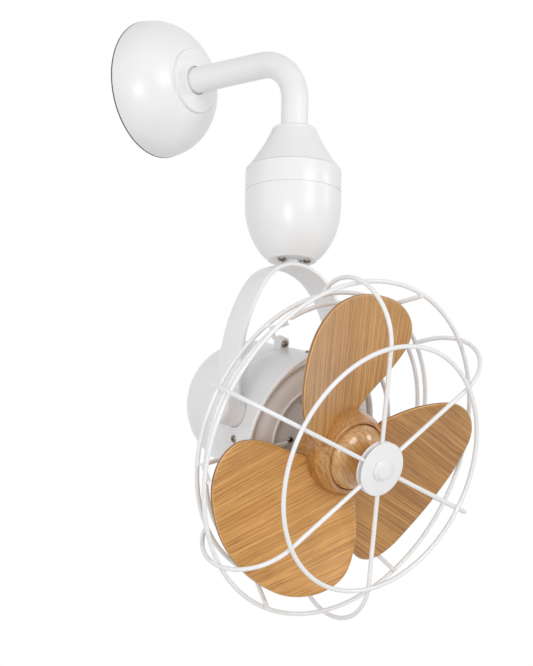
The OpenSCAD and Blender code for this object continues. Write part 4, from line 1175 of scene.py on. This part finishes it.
@dataclass
class Motor(Assembly):
    """The motor's casing: rear dome, flared front shell, face and cover, with their screws."""

    place: ClassVar[Matrix] = HEAD
    body: ClassVar[str] = "head"
    dome_r: float = 66
    dome_a: float = -59
    dome_wall: float = 3
    seam_r: float = 72
    seam_a: float = -26
    rim_r: float = 81
    rim_a: float = 36
    pocket_r: float = 15.6
    pocket_floor: float = 70
    radial_a: float = 6
    radial_seat: float = 0.7
    radial_hole_r: float = 4.2
    flat_a: float = 30
    recess_a: float = 27.6
    lip_r: float = 51
    cover_r: float = 30
    sleeve_r: float = 10.5
    lug_pos: float = 77.73
    lug_r: float = 6.4
    lug_root: float = -7
    lug_l: float = 5
    lug_gap: float = 0.15
    lug_soft: float = 0.7
    lug_turns: tuple[float, ...] = (107, 287)
    radial_turns: tuple[float, ...] = (20, 100)

    def casing_r(self, a: float) -> float:
        """Radius of the front shell at a distance along the axis."""
        return self.seam_r + (self.rim_r - self.seam_r) * (a - self.seam_a) / (
            self.rim_a - self.seam_a)

    def lugs(self, form: Form, back: float, front: float) -> None:
        """Adds the lugs that the casing screws go through.

        Args:
            form: The shell that gets them.
            back: Their start along the axis.
            front: Their end along the axis.
        """
        r, soft = self.lug_r, self.lug_soft
        section = [(self.lug_root, -r), *arc((0, 0), r, -90, 90, 24), (self.lug_root, r)]
        stations = []
        for a, grow in ((back, -soft), (back + soft, 0), (front - soft, 0), (front, -soft)):
            share = (r + grow) / r
            points = [(x if x == self.lug_root else x * share, y * share) for x, y in section]
            stations.append((Vector((self.lug_pos, 0, a)), Vector((1, 0, 0)), Vector((0, 1, 0)),
                             points))
        for turn in self.lug_turns:
            form.sweep(stations, turned(turn, "Z"))

    def rear(self) -> None:
        """Builds the dome behind the seam."""
        centre, seam, inner_r = (0, self.dome_a), self.seam_a, self.dome_r - self.dome_wall
        form = Form()
        form.lathe([*arc(centre, self.dome_r, -90, -6, 40), (66.9, -51), (68.2, -43.5),
                    (69.6, -36.5), (self.seam_r - 0.2, seam - 1.2),
                    (self.seam_r - 0.35, seam - 0.3), (self.seam_r - 0.8, seam), (68.5, seam),
                    (65, -45),
                    *arc(centre, inner_r, -4, -90, 24)], sides=BROADEST)
        self.lugs(form, seam - self.lug_l, seam - self.lug_gap)
        self.put("rear_dome", form, "motor_rear_shell", WHITE)

    def front(self) -> None:
        """Builds the flared shell with its pockets for the bosses and the radial screws."""
        seam = self.seam_a
        form = Form()
        form.lathe([(self.seam_r - 0.8, seam), (self.seam_r - 0.3, seam + 0.3),
                    (self.seam_r + 0.15, seam + 1.2),
                    *((self.casing_r(a), a) for a in (-15, -5, 5, 15, 25, 33)),
                    *arc((self.rim_r - 1.55, self.rim_a - 1.5), 1.5, 8, 90, 8), (78.6, 36),
                    (77.9, 35.75), (77.5, 35.1), (77.3, 34), (75.7, 20), (68, 20), (66, 14),
                    (66, seam)], sides=BROADEST)
        shell = form.mesh()
        tools = Form()
        seat = self.casing_r(self.radial_a) - self.radial_seat
        for turns, low, high, r, a, sides in (
                ((0,), self.pocket_floor, 100, self.pocket_r, 0, SMALL),
                (self.radial_turns, seat, 90, self.radial_hole_r, self.radial_a, SMALL // 2)):
            for turn in (t + side for side in (0, 180) for t in turns):
                tools.lathe([(0, low), (r, low), (r, high), (0, high)],
                            turned(turn, "Z") @ moved(0, 0, a) @ turned(90, "Y"), sides)
        cast = Form(cut(shell, tools.mesh()))
        self.lugs(cast, seam + self.lug_gap, seam + self.lug_l)
        self.put("front_shell", cast, "motor_front_shell", WHITE)

    def face(self) -> None:
        """Builds the broad rounded ring with its lip and the recessed flat."""
        flat, deep, lip = self.flat_a, self.recess_a, self.lip_r
        outline = [
            (75.2, 20), (75.2, 22.6), *arc((59, flat), 17.5, 0, 90, 20, 7.2), (55.2, 37.15),
            (54.3, 37.3), (53.7, 37.75), (53.3, 38.1), (52.8, 38.2), (52, 38.2), (51.5, 38.05),
            (51.1, 37.6), (lip, 37.1), (lip, 31), (50.8, 30.3), (50.1, flat), (30.6, flat),
            (30.3, 29.7), (30.25, deep), (11, deep), (11, 24.6), (53.5, 24.6), (53.5, 33),
            *arc((56, 20), 10.5, 90, 0, 10, 13)]
        # The recessed flat takes the taupe finish, whose darker grey is painted shade for the
        # recess
        self.turn("motor_face_ring", outline, "motor_face", WHITE, RECESS_SHADED_TAUPE, sides=BROADEST,
                  tint=lambda r, a: int(r < lip + 0.05 and a < flat + 1.5))

    def cover(self) -> None:
        """Builds the round cover with its sleeve."""
        bore_r, end = 6.5, 39
        # The cover takes the taupe finish, whose darker grey is painted shade for the recess
        self.turn("cover_plate", rounded([
            (bore_r, self.recess_a, 0), (self.cover_r, self.recess_a, 0),
            (self.cover_r, self.flat_a, 0.35), (self.sleeve_r, self.flat_a, 1.2),
            (self.sleeve_r, end, 0.5), (bore_r, end, 0.3)]), "bearing_cover", RECESS_SHADED_TAUPE)

    def screws(self) -> None:
        """Builds the casing's, the radial and the face's screws."""
        casing = moved(self.lug_pos, 0, self.seam_a + self.lug_l)
        radial = (moved(0, 0, self.radial_a) @ turned(90, "Y")
                  @ moved(0, 0, self.casing_r(self.radial_a) - self.radial_seat))
        self.put("lug_screws", Form(screw_ring((3.8, 2.2, 2, 9), casing, 2, self.lug_turns[0])),
                 "casing_screws", NICKEL)
        self.put("side_screws", Form(*(screw_ring((4, 2.2, 2, 7), radial, 2, first)
                                       for first in self.radial_turns)), "radial_screws", NICKEL)
        self.put("cover_screws", Form(*(
            screw_ring((3.2, 1.8, 1.5, length), moved(pos, 0, self.flat_a), 3, first)
            for pos, first, length in ((38, 127, 5), (24, 206, 5.2)))), "face_screws", NICKEL)

    def build(self) -> None:
        """Builds the motor's pieces."""
        self.rear()
        self.front()
        self.face()
        self.cover()
        self.screws()


@dataclass
class Guard(Assembly):
    """The wire guard: rings, rods, spokes, the drops of weld where they cross, discs and knob."""

    place: ClassVar[Matrix] = HEAD
    body: ClassVar[str] = "head"
    wire: float = 2.25
    pitch: float = 4.2
    front: float = 136.5
    arc_r: float = 54.5
    arc_pos: float = 122
    sweep: float = 151
    spoke_turn: float = 50
    large: Point = (172.26, 79.98)
    rear: Point = (148.65, 39.34)
    inner_rear_r: float = 138.15
    front_ring_r: float = 125
    face_ring_r: float = 92
    elbow_r: float = 9
    elbow_pos: float = 145.15
    seat: Point = (52.5, 40.15)
    long_r: float = 37
    long_turn: float = 80
    short_r: float = 133
    short_turn: float = 20
    lap: float = 3
    weld_r: float = 1.75
    disc_r: float = 27.2
    disc_t: float = 1.6
    disc_hole_r: float = 2.52
    disc_lows: tuple[float, ...] = (138.77, 132.63)
    knob_r: float = 11.4
    knob_top_r: float = 8.8
    bolt_r: float = 2.5
    bolt_end: float = 129.63
    nut_r: float = 6
    nut_t: float = 3

    def rod_slope(self) -> float:
        """Slope of the rods' run over the motor's face, in radians."""
        return math.atan2(self.rear[1] + self.pitch - self.seat[1], self.elbow_pos - self.seat[0])

    def rod_a(self, r: float) -> float:
        """Height of the rods' run at a radius."""
        return self.seat[1] + (r - self.seat[0]) * math.tan(self.rod_slope())

    def wires(self, name: str, nodes: str, path: Mesh, copies: int = 1, first: float = 0) -> None:
        """Builds a piece of bent wires.

        Args:
            name: Name of the piece.
            nodes: The CAD nodes that it stands for.
            path: The first wire's path, which is used up.
            copies: Number of wires.
            first: Turn of the first one in degrees.
        """
        mesh = round_array(path, Repeat.WIRE, WIRE, copies, first, self.wire)
        self.put(name, Form(mesh), nodes, WIRE)

    def rings(self) -> None:
        """Builds the five wire rings."""
        for name, (r, a) in {
                "large_ring": self.large,
                "front_ring": (self.front_ring_r, self.front + self.pitch),
                "rear_ring": self.rear,
                "inner_rear_ring": (self.inner_rear_r, self.rear[1]),
                "face_ring": (self.face_ring_r, self.rod_a(self.face_ring_r) + self.pitch)}.items():
            line = [Vector((x, y, a)) for x, y in circle(r, BROADEST)]
            self.wires(f"{name}_wire", name, path_mesh(line, closed=True))

    def rods(self, name: str, start_r: float, first: float) -> None:
        """Builds three rods that bend up to the large ring.

        Args:
            name: The CAD node that they stand for.
            start_r: Radius where they start.
            first: Turn of the first one.
        """
        slope = self.rod_slope()
        dr, da = self.large[0] - self.elbow_pos, self.large[1] - self.rear[1] - self.pitch
        span = math.hypot(dr, da)
        strut = math.atan2(da, dr) + math.asin(self.pitch / span)
        length = math.sqrt(span ** 2 - self.pitch ** 2) + self.lap
        tangent = self.elbow_r * math.tan((strut - slope) / 2)
        r0 = self.elbow_pos - tangent * math.cos(slope)
        middle = (r0 - self.elbow_r * math.sin(slope),
                  self.rod_a(r0) + self.elbow_r * math.cos(slope))
        curve = arc(middle, self.elbow_r, math.degrees(slope) - 90, math.degrees(strut) - 90, 14)
        tip = (curve[-1][0] + (length - tangent) * math.cos(strut),
               curve[-1][1] + (length - tangent) * math.sin(strut))
        line = [Vector((r, 0, a)) for r, a in ((start_r, self.rod_a(start_r)), *curve, tip)]
        self.wires(f"{name}_wire", name, round_ended(line, self.wire), 3, first)

    def spokes(self) -> None:
        """Builds the six spokes that curl back in an arc."""
        middle = (self.arc_pos, self.front - self.arc_r)
        line = [Vector((r, 0, a)) for r, a in (
            (5.5, self.front), *arc(middle, self.arc_r, 90, 90 - self.sweep, 48))]
        self.wires("curled_spokes", " ".join(f"spoke_{k}" for k in range(1, 7)),
                   round_ended(line[::-1], self.wire), 6, self.spoke_turn)

    def welds(self) -> None:
        """Builds a drop of weld at every crossing of two wires."""
        middle = Vector((self.arc_pos, 0, self.front - self.arc_r))
        half = self.pitch / 2

        def between(r: float, a: float) -> Vector:
            """The crossing of a spoke's arc and a ring inside it."""
            ring = Vector((r, 0, a))
            return ring + (ring - middle).normalized() * half

        on_spokes = [Vector((self.front_ring_r, 0, self.front + half)), between(*self.large),
                     between(*self.rear)]
        on_rods = [Vector((r, 0, self.rear[1] + half))
                   for r in (self.inner_rear_r, self.elbow_pos + self.lap)]
        on_face = [Vector((self.face_ring_r, 0, self.rod_a(self.face_ring_r) + half))]
        self.put("weld_drops", Form(*(
            round_array(path_mesh(points), Repeat.BEADS, WIRE, copies, first, self.weld_r)
            for points, copies, first in ((on_spokes, 6, self.spoke_turn),
                                          (on_rods, 6, self.short_turn),
                                          (on_face, 3, self.long_turn)))), "", WIRE)

    def hub_discs(self) -> None:
        """Builds the two discs that hold the spokes, and the knob with its bolt and nut."""
        form = Form()
        for low in self.disc_lows:
            high = low + self.disc_t
            form.lathe(rounded([(self.disc_hole_r, low, 0), (self.disc_r, low, 0.5),
                                (self.disc_r, high, 0.6), (self.disc_hole_r, high, 0)]))
        self.put("clamp_discs", form, "guard_discs", WHITE)
        base, end, groove = self.disc_lows[0] + self.disc_t, self.bolt_end, 0.4
        step, top = base + 1.8, base + 4.4
        form = Form()
        form.lathe(rounded([(0, base, 0), (10.7, base, 0), (10.7, base + groove, 0),
                            (self.knob_r, base + groove, 0.2), (self.knob_r, step, 0.5),
                            (self.knob_top_r, step + 0.1, 0.2), (self.knob_top_r, top, 0.7),
                            (0, top, 0)], 6), sides=SMALL)
        form.lathe([(0, end), (self.bolt_r, end), (self.bolt_r, base + 0.3), (0, base + 0.3)],
                   sides=32)
        flat_r, nut_end = self.nut_r - 0.4, end + self.nut_t
        form.lathe([(0, end), (flat_r, end), (self.nut_r, end + 0.37),
                    (self.nut_r, nut_end - 0.43), (flat_r, nut_end), (0, nut_end)], sides=6)
        self.put("stepped_knob", form, "front_knob", WHITE)

    def build(self) -> None:
        """Builds the guard's pieces."""
        self.rings()
        self.rods("long_rods", self.long_r, self.long_turn)
        self.rods("short_rods", self.short_r, self.short_turn)
        self.spokes()
        self.welds()
        self.hub_discs()


@dataclass
class Rotor(Assembly):
    """The dark collar, the wooden hub with its cap, and the three blades."""

    place: ClassVar[Matrix] = HEAD
    body: ClassVar[str] = "rotor"
    hub_r: float = 43
    back: float = 62
    side_a: float = 82.5
    side_l: float = 18.5
    taper: float = 4.5
    front: float = 103
    bore_r: float = 14
    groove_r: float = 34.2
    cap_r: float = 33.4
    cap_floor: float = 96
    cap_a: float = 101
    dome: float = 17
    blade_turn: float = 114.75
    blade_a: float = 80.7
    slope: float = 0.292
    hollow: float = 0.0019
    blade_t: float = 5.5
    reach: float = 158
    edge_w: float = 4.2
    glue_r: float = 0.6
    centre: Point = (92, -4)
    outline: tuple[Point, ...] = (
        (30, -14), (46, -42), (62, -70), (84, -93), (108, -96), (131, -80), (147, -50), (156, -16),
        (155, 22), (140, 58), (112, 79), (80, 84), (50, 71), (29, 52), (19, 34))
    grain: tuple[float, ...] = (-8, -18, -10)
    seams: tuple[tuple[Point, ...], ...] = (
        ((47, 94.4), (51, 95.6), (56, 98), (60, 100.6), (62, 103)),
        ((69.6, 103), (71, 97), (72.6, 88), (73.6, 82), (75.4, 79.4), (78.5, 78.5), (84.4, 78.3),
         (95, 78.6)))

    def side_r(self, a: float) -> float:
        """Radius of the hub's side at a distance along the axis."""
        t = min(1.0, max(0.0, (a - self.side_a) / self.side_l))
        return self.hub_r - self.taper * t * t

    def collar(self) -> None:
        """Builds the dark collar between the motor's face and the hub."""
        shaft_r, neck_r, plate_r, peg_r = 6.02, 11, 28, 13.98
        start, plate, end = 40, 59, 93
        self.turn("hub_collar", rounded([
            (shaft_r, start, 0), (neck_r, start, 0.6), (neck_r, plate, 1.5), (plate_r, plate, 0.8),
            (plate_r, self.back, 0), (peg_r, self.back, 0), (peg_r, end, 0.5), (shaft_r, end, 0)]),
            "shaft_collar", DARK)

    def hub(self) -> None:
        """Builds the hub with the groove round its cap and the glue lines on its side."""
        side = [(self.side_r(a), a) for a in spaced(self.side_a, self.side_a + self.side_l, 16)]
        form = Form()
        form.lathe([(self.bore_r, self.back), *arc((41, self.back + 2), 2, -90, 0, 6), *side,
                    *arc((36.4, 100.9), 2.1, 12, 90, 8), (34.9, self.front), (34.45, 102.85),
                    (self.groove_r, 102.4), (self.groove_r, self.cap_floor),
                    (self.bore_r, self.cap_floor)], sides=BROAD)
        for line in self.seams:
            points = [Vector((self.side_r(a) * cosine(t), self.side_r(a) * sine(t), a))
                      for t, a in self.smooth(line, 4, closed=False)]
            mesh = round_array(path_mesh(points), Repeat.WIRE, GLUE_LINE, 3, self.blade_turn,
                               self.glue_r, 6)
            mesh.polygons.foreach_set("material_index", [1] * len(mesh.polygons))
            form.bm.from_mesh(mesh)
            bpy.data.meshes.remove(mesh)
        self.put("wooden_hub", form, "hub_ring", HUB_WOOD, GLUE_LINE)

    def cap(self) -> None:
        """Builds the domed cap."""
        bore_r, bore_end = 12, 104
        dome = arc((0, self.cap_a), self.cap_r, 0, 90, 28, self.dome)[:-1]
        self.turn("wooden_cap", [
            (bore_r, self.cap_floor), (self.cap_r, self.cap_floor), *dome,
            (0, self.cap_a + self.dome), (0, bore_end), (bore_r, bore_end)], "hub_cap", CAP_WOOD,
            sides=BROAD)

    def smooth(self, points: Sequence[Point], steps: int, closed: bool = True) -> list[Point]:
        """A smooth curve through points.

        Args:
            points: The points.
            steps: Number of straight bits between two of them.
            closed: Whether the curve closes.

        Returns:
            The curve's points.
        """
        n = len(points)
        curve: list[Point] = []
        for i in range(n if closed else n - 1):
            near = [points[(i + d) % n] if closed else points[min(max(i + d, 0), n - 1)]
                    for d in (-1, 0, 1, 2)]
            curve += [tuple(0.5 * (2 * b + (c - a) * t + (2 * a - 5 * b + 4 * c - d) * t * t
                                   + (3 * b - a - 3 * c + d) * t ** 3) for a, b, c, d in zip(*near))
                      for t in spaced(0, 1, steps)[:-1]]
        return curve if closed else [*curve, points[-1]]

    def blade_edge(self) -> list[Point]:
        """Draws the blade's outline and cuts it where it goes into the hub.

        Returns:
            The outline's points.
        """
        scale = self.reach / max(math.hypot(*p) for p in self.outline)
        full = [(x * scale, y * scale) for x, y in self.smooth(self.outline, 10)]
        root = self.hub_r - 2.5
        outside = [math.hypot(*p) > root for p in full]
        first = next(k for k in range(len(full)) if outside[k] and not outside[k - 1])
        kept = []
        for point in full[first:] + full[:first]:
            if math.hypot(*point) <= root:
                break
            kept.append(point)
        end, start = (math.degrees(math.atan2(p[1], p[0])) for p in (kept[0], kept[-1]))
        return kept + arc((0, 0), root, start, end, 24)[1:-1]

    def blade_rings(self) -> list[tuple[list[Vector], float, float]]:
        """The rings of points from the blade's edge to its middle.

        Returns:
            Each ring's points, its share of the blade's thickness and its distance from the edge.
        """
        edge = [Vector(p) for p in self.blade_edge()]
        n, middle = len(edge), Vector(self.centre)
        inwards = []
        for k in range(n):
            along = (edge[(k + 2) % n] - edge[k - 2]).normalized()
            inwards.append(Vector((-along.y, along.x)))
        rings = []
        for angle in spaced(0, 90, 5):
            inset = self.edge_w * (1 - cosine(angle))
            rings.append(([p + d * inset for p, d in zip(edge, inwards)], sine(angle), inset))
        last = rings[-1][0]
        return rings + [([middle + (p - middle) * share for p in last], 1.0,
                         self.edge_w + 100 * (1 - share))
                        for share in (0.97, 0.93, 0.8, 0.62, 0.44, 0.26, 0.1)]

    def blade(self, index: int) -> None:
        """Builds one blade as a curved board with rounded edges and its grain as a UV map.

        Args:
            index: Number of the blade, from 1.
        """
        rings = self.blade_rings()
        m, n = len(rings), len(rings[0][0])
        verts, insets, faces = [], [], []
        for face in (1, -1):
            for points, height, inset in rings[0 if face > 0 else 1:]:
                for p in points:
                    tilt = self.slope + 2 * self.hollow * p.y
                    a = self.blade_a + self.slope * p.y + self.hollow * p.y ** 2
                    a += face * height * self.blade_t / 2 * math.sqrt(1 + tilt * tilt)
                    verts.append((p.x, p.y, a))
                    insets.append(inset)
        for k in range(m - 1):
            a, b = (0 if k == 0 else (m + k - 1) * n), (m + k) * n
            for i, j in ((i, (i + 1) % n) for i in range(n)):
                faces.append((k * n + i, k * n + j, (k + 1) * n + j, (k + 1) * n + i))
                faces.append((a + i, b + i, b + j, a + j))
        for base in ((m - 1) * n, (2 * m - 2) * n):
            low = Vector(verts[base])
            verts.append(tuple(sum((Vector(v) - low for v in verts[base:base + n]), Vector()) / n
                               + low))
            insets.append(60.0)
            faces += [(base + i, base + (i + 1) % n, len(verts) - 1) for i in range(n)]
        mesh = bpy.data.meshes.new("blade")
        mesh.from_pydata(verts, [], faces)
        # Distance from the edge: the veneer's mask for its painted highlight and painted shade
        # along the edge
        mesh.attributes.new("rim", "FLOAT", "POINT").data.foreach_set("value", insets)
        c, s = cosine(self.grain[index - 1]), sine(self.grain[index - 1])
        layer = mesh.uv_layers.new(name="grain")
        for loop in mesh.loops:
            x, y, _ = verts[loop.vertex_index]
            layer.data[loop.index].uv = ((x * c + y * s) / MM + index,
                                         (y * c - x * s) / MM + 0.37 * index)
        self.put(f"oak_blade_{index}", Form(mesh), f"blade_{index}", OAKS[index - 1],
                 turn=self.blade_turn + 120 * (index - 1), crease=50)

    def build(self) -> None:
        """Builds the rotor's pieces."""
        self.collar()
        self.hub()
        self.cap()
        for index in (1, 2, 3):
            self.blade(index)


# Stage


@dataclass
class Studio:
    """The plain floor, the soft lights, the pale world and the camera; lengths are in metres."""

    floor_z: float = -1.3
    floor_reach: float = 30
    ambient: float = 0.575
    glow: float = 0.34
    middle: tuple[float, float, float] = (0, -0.25, -0.35)
    camera_at: tuple[float, float, float] = (-2.2136, -1.8432, -0.9536)
    azimuth: float = -52.69
    elevation: float = -13.44
    roll: float = 1.144
    lens: float = 190.14

    def seen(self, nodes: Nodes) -> Socket:
        """Tells what is seen from what only gives light.

        Args:
            nodes: The nodes of a material or of the world.

        Returns:
            1 for what the camera sees, in gloss and through glass too, and 0 for light.
        """
        path = nodes.add("ShaderNodeLightPath").outputs
        both = nodes.math("MAXIMUM", path["Is Camera Ray"], path["Is Glossy Ray"])
        return nodes.math("MAXIMUM", both, path["Is Transmission Ray"])

    def floor(self) -> None:
        """Makes the pale floor far below the fan; it is seen near white."""
        r = self.floor_reach
        mesh = bpy.data.meshes.new("studio_floor")
        mesh.from_pydata([(x, y, self.floor_z) for x, y in ((-r, -r), (r, -r), (r, r), (-r, r))],
                         [], [(0, 1, 2, 3)])
        pale = bpy.data.materials.new("studio_floor_pale")
        pale.use_nodes = True
        nodes = Nodes(pale.node_tree)
        for key, value in (("Base Color", linear("#f4f4f3")), ("Roughness", 0.9),
                           ("Emission Color", (1, 1, 1, 1))):
            nodes.shader.inputs[key].default_value = value
        nodes.feed("Emission Strength", nodes.math("MULTIPLY", self.seen(nodes), self.glow))
        mesh.materials.append(pale)
        linked("studio_floor", mesh)

    def world(self) -> None:
        """Lights evenly from all round and shows white to the camera, to gloss and to glass."""
        world = bpy.data.worlds.new("studio_world")
        world.use_nodes = True
        world.node_tree.nodes.clear()
        nodes = Nodes(world.node_tree)
        even, white = (nodes.add("ShaderNodeBackground", {"Color": linear(colour),
                                                          "Strength": strength}).outputs[0]
                       for colour, strength in (("#fcfcfd", self.ambient), ("#ffffff", 1.0)))
        both = nodes.add("ShaderNodeMixShader", {0: self.seen(nodes), 1: even, 2: white})
        nodes.add("ShaderNodeOutputWorld", {"Surface": both.outputs[0]})
        bpy.context.scene.world = world

    def towards(self, azimuth: float, elevation: float) -> Vector:
        """The direction from the fan to something round it.

        Args:
            azimuth: Where it stands; 0 is in front of the wall, -90 to the left, in degrees.
            elevation: Its height above the horizon in degrees.

        Returns:
            The direction, 1 long.
        """
        return Vector((sine(azimuth) * cosine(elevation), -cosine(azimuth) * cosine(elevation),
                       sine(elevation)))

    def lamp(self, name: str, azimuth: float, elevation: float, strength: float, width: float,
             distance: float = 0.0) -> None:
        """Adds a soft lamp that faces the fan: a distant one, or a near square one.

        Args:
            name: Its name.
            azimuth: Where it stands, as in towards.
            elevation: Its height, as in towards.
            strength: Light it gives a surface that faces it; 1 is a full white.
            width: A distant one's apparent width in degrees, or a near one's side in metres.
            distance: A near one's distance from the fan's middle in metres.
        """
        data = bpy.data.lights.new(name, "AREA" if distance else "SUN")
        if distance:
            data.energy = strength * (math.pi * distance) ** 2
            data.size = width
        else:
            data.energy = strength * math.pi
            data.angle = math.radians(width)
        back = self.towards(azimuth, elevation)
        made = linked(name, data)
        made.location = Vector(self.middle) + back * distance
        made.rotation_euler = back.to_track_quat("Z", "Y").to_euler()

    def camera(self) -> None:
        """Places the camera as the photograph's."""
        back = self.towards(self.azimuth, self.elevation)
        level = Vector((cosine(self.azimuth), sine(self.azimuth), 0))
        rise = back.cross(level)
        right = level * cosine(self.roll) + rise * sine(self.roll)
        up = rise * cosine(self.roll) - level * sine(self.roll)
        data = bpy.data.cameras.new("camera")
        data.sensor_fit = "HORIZONTAL"
        data.sensor_width = 36
        data.lens = self.lens
        data.clip_end = 100
        made = linked("camera", data)
        made.matrix_world = Matrix.Translation(self.camera_at) @ Matrix(
            (right, up, back)).transposed().to_4x4()
        bpy.context.scene.camera = made

    def build(self) -> None:
        """Sets the whole stage."""
        self.floor()
        self.world()
        self.lamp("key", azimuth=-14, elevation=6, strength=0.24, width=24)
        self.lamp("side", azimuth=32, elevation=12, strength=0.07, width=12)
        self.lamp("left", azimuth=-115, elevation=8, strength=0.06, width=40)
        self.lamp("front", azimuth=-66, elevation=-9, strength=0.24, width=0.8, distance=3.2)
        self.camera()
        bpy.context.scene.view_settings.view_transform = "Standard"


def dress_nodes() -> None:
    """Gives every CAD node its finish through its own material slots."""
    for name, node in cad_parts.items():
        for holder in node.material_slots:
            holder.material = NODE_FINISH[name].material()
    LOG.info("%d CAD nodes dressed", len(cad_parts))


def main() -> None:
    """Builds the scene."""
    logging.basicConfig(level=logging.INFO, format="%(message)s")
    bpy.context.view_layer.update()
    dress_nodes()
    for assembly in (WallMount(), Arm(), Housing(), Yoke(), Motor(), Guard(), Rotor()):
        LOG.info("building %s", type(assembly).__name__)
        assembly.build()
    Studio().build()


if __name__ == "__main__":
    main()
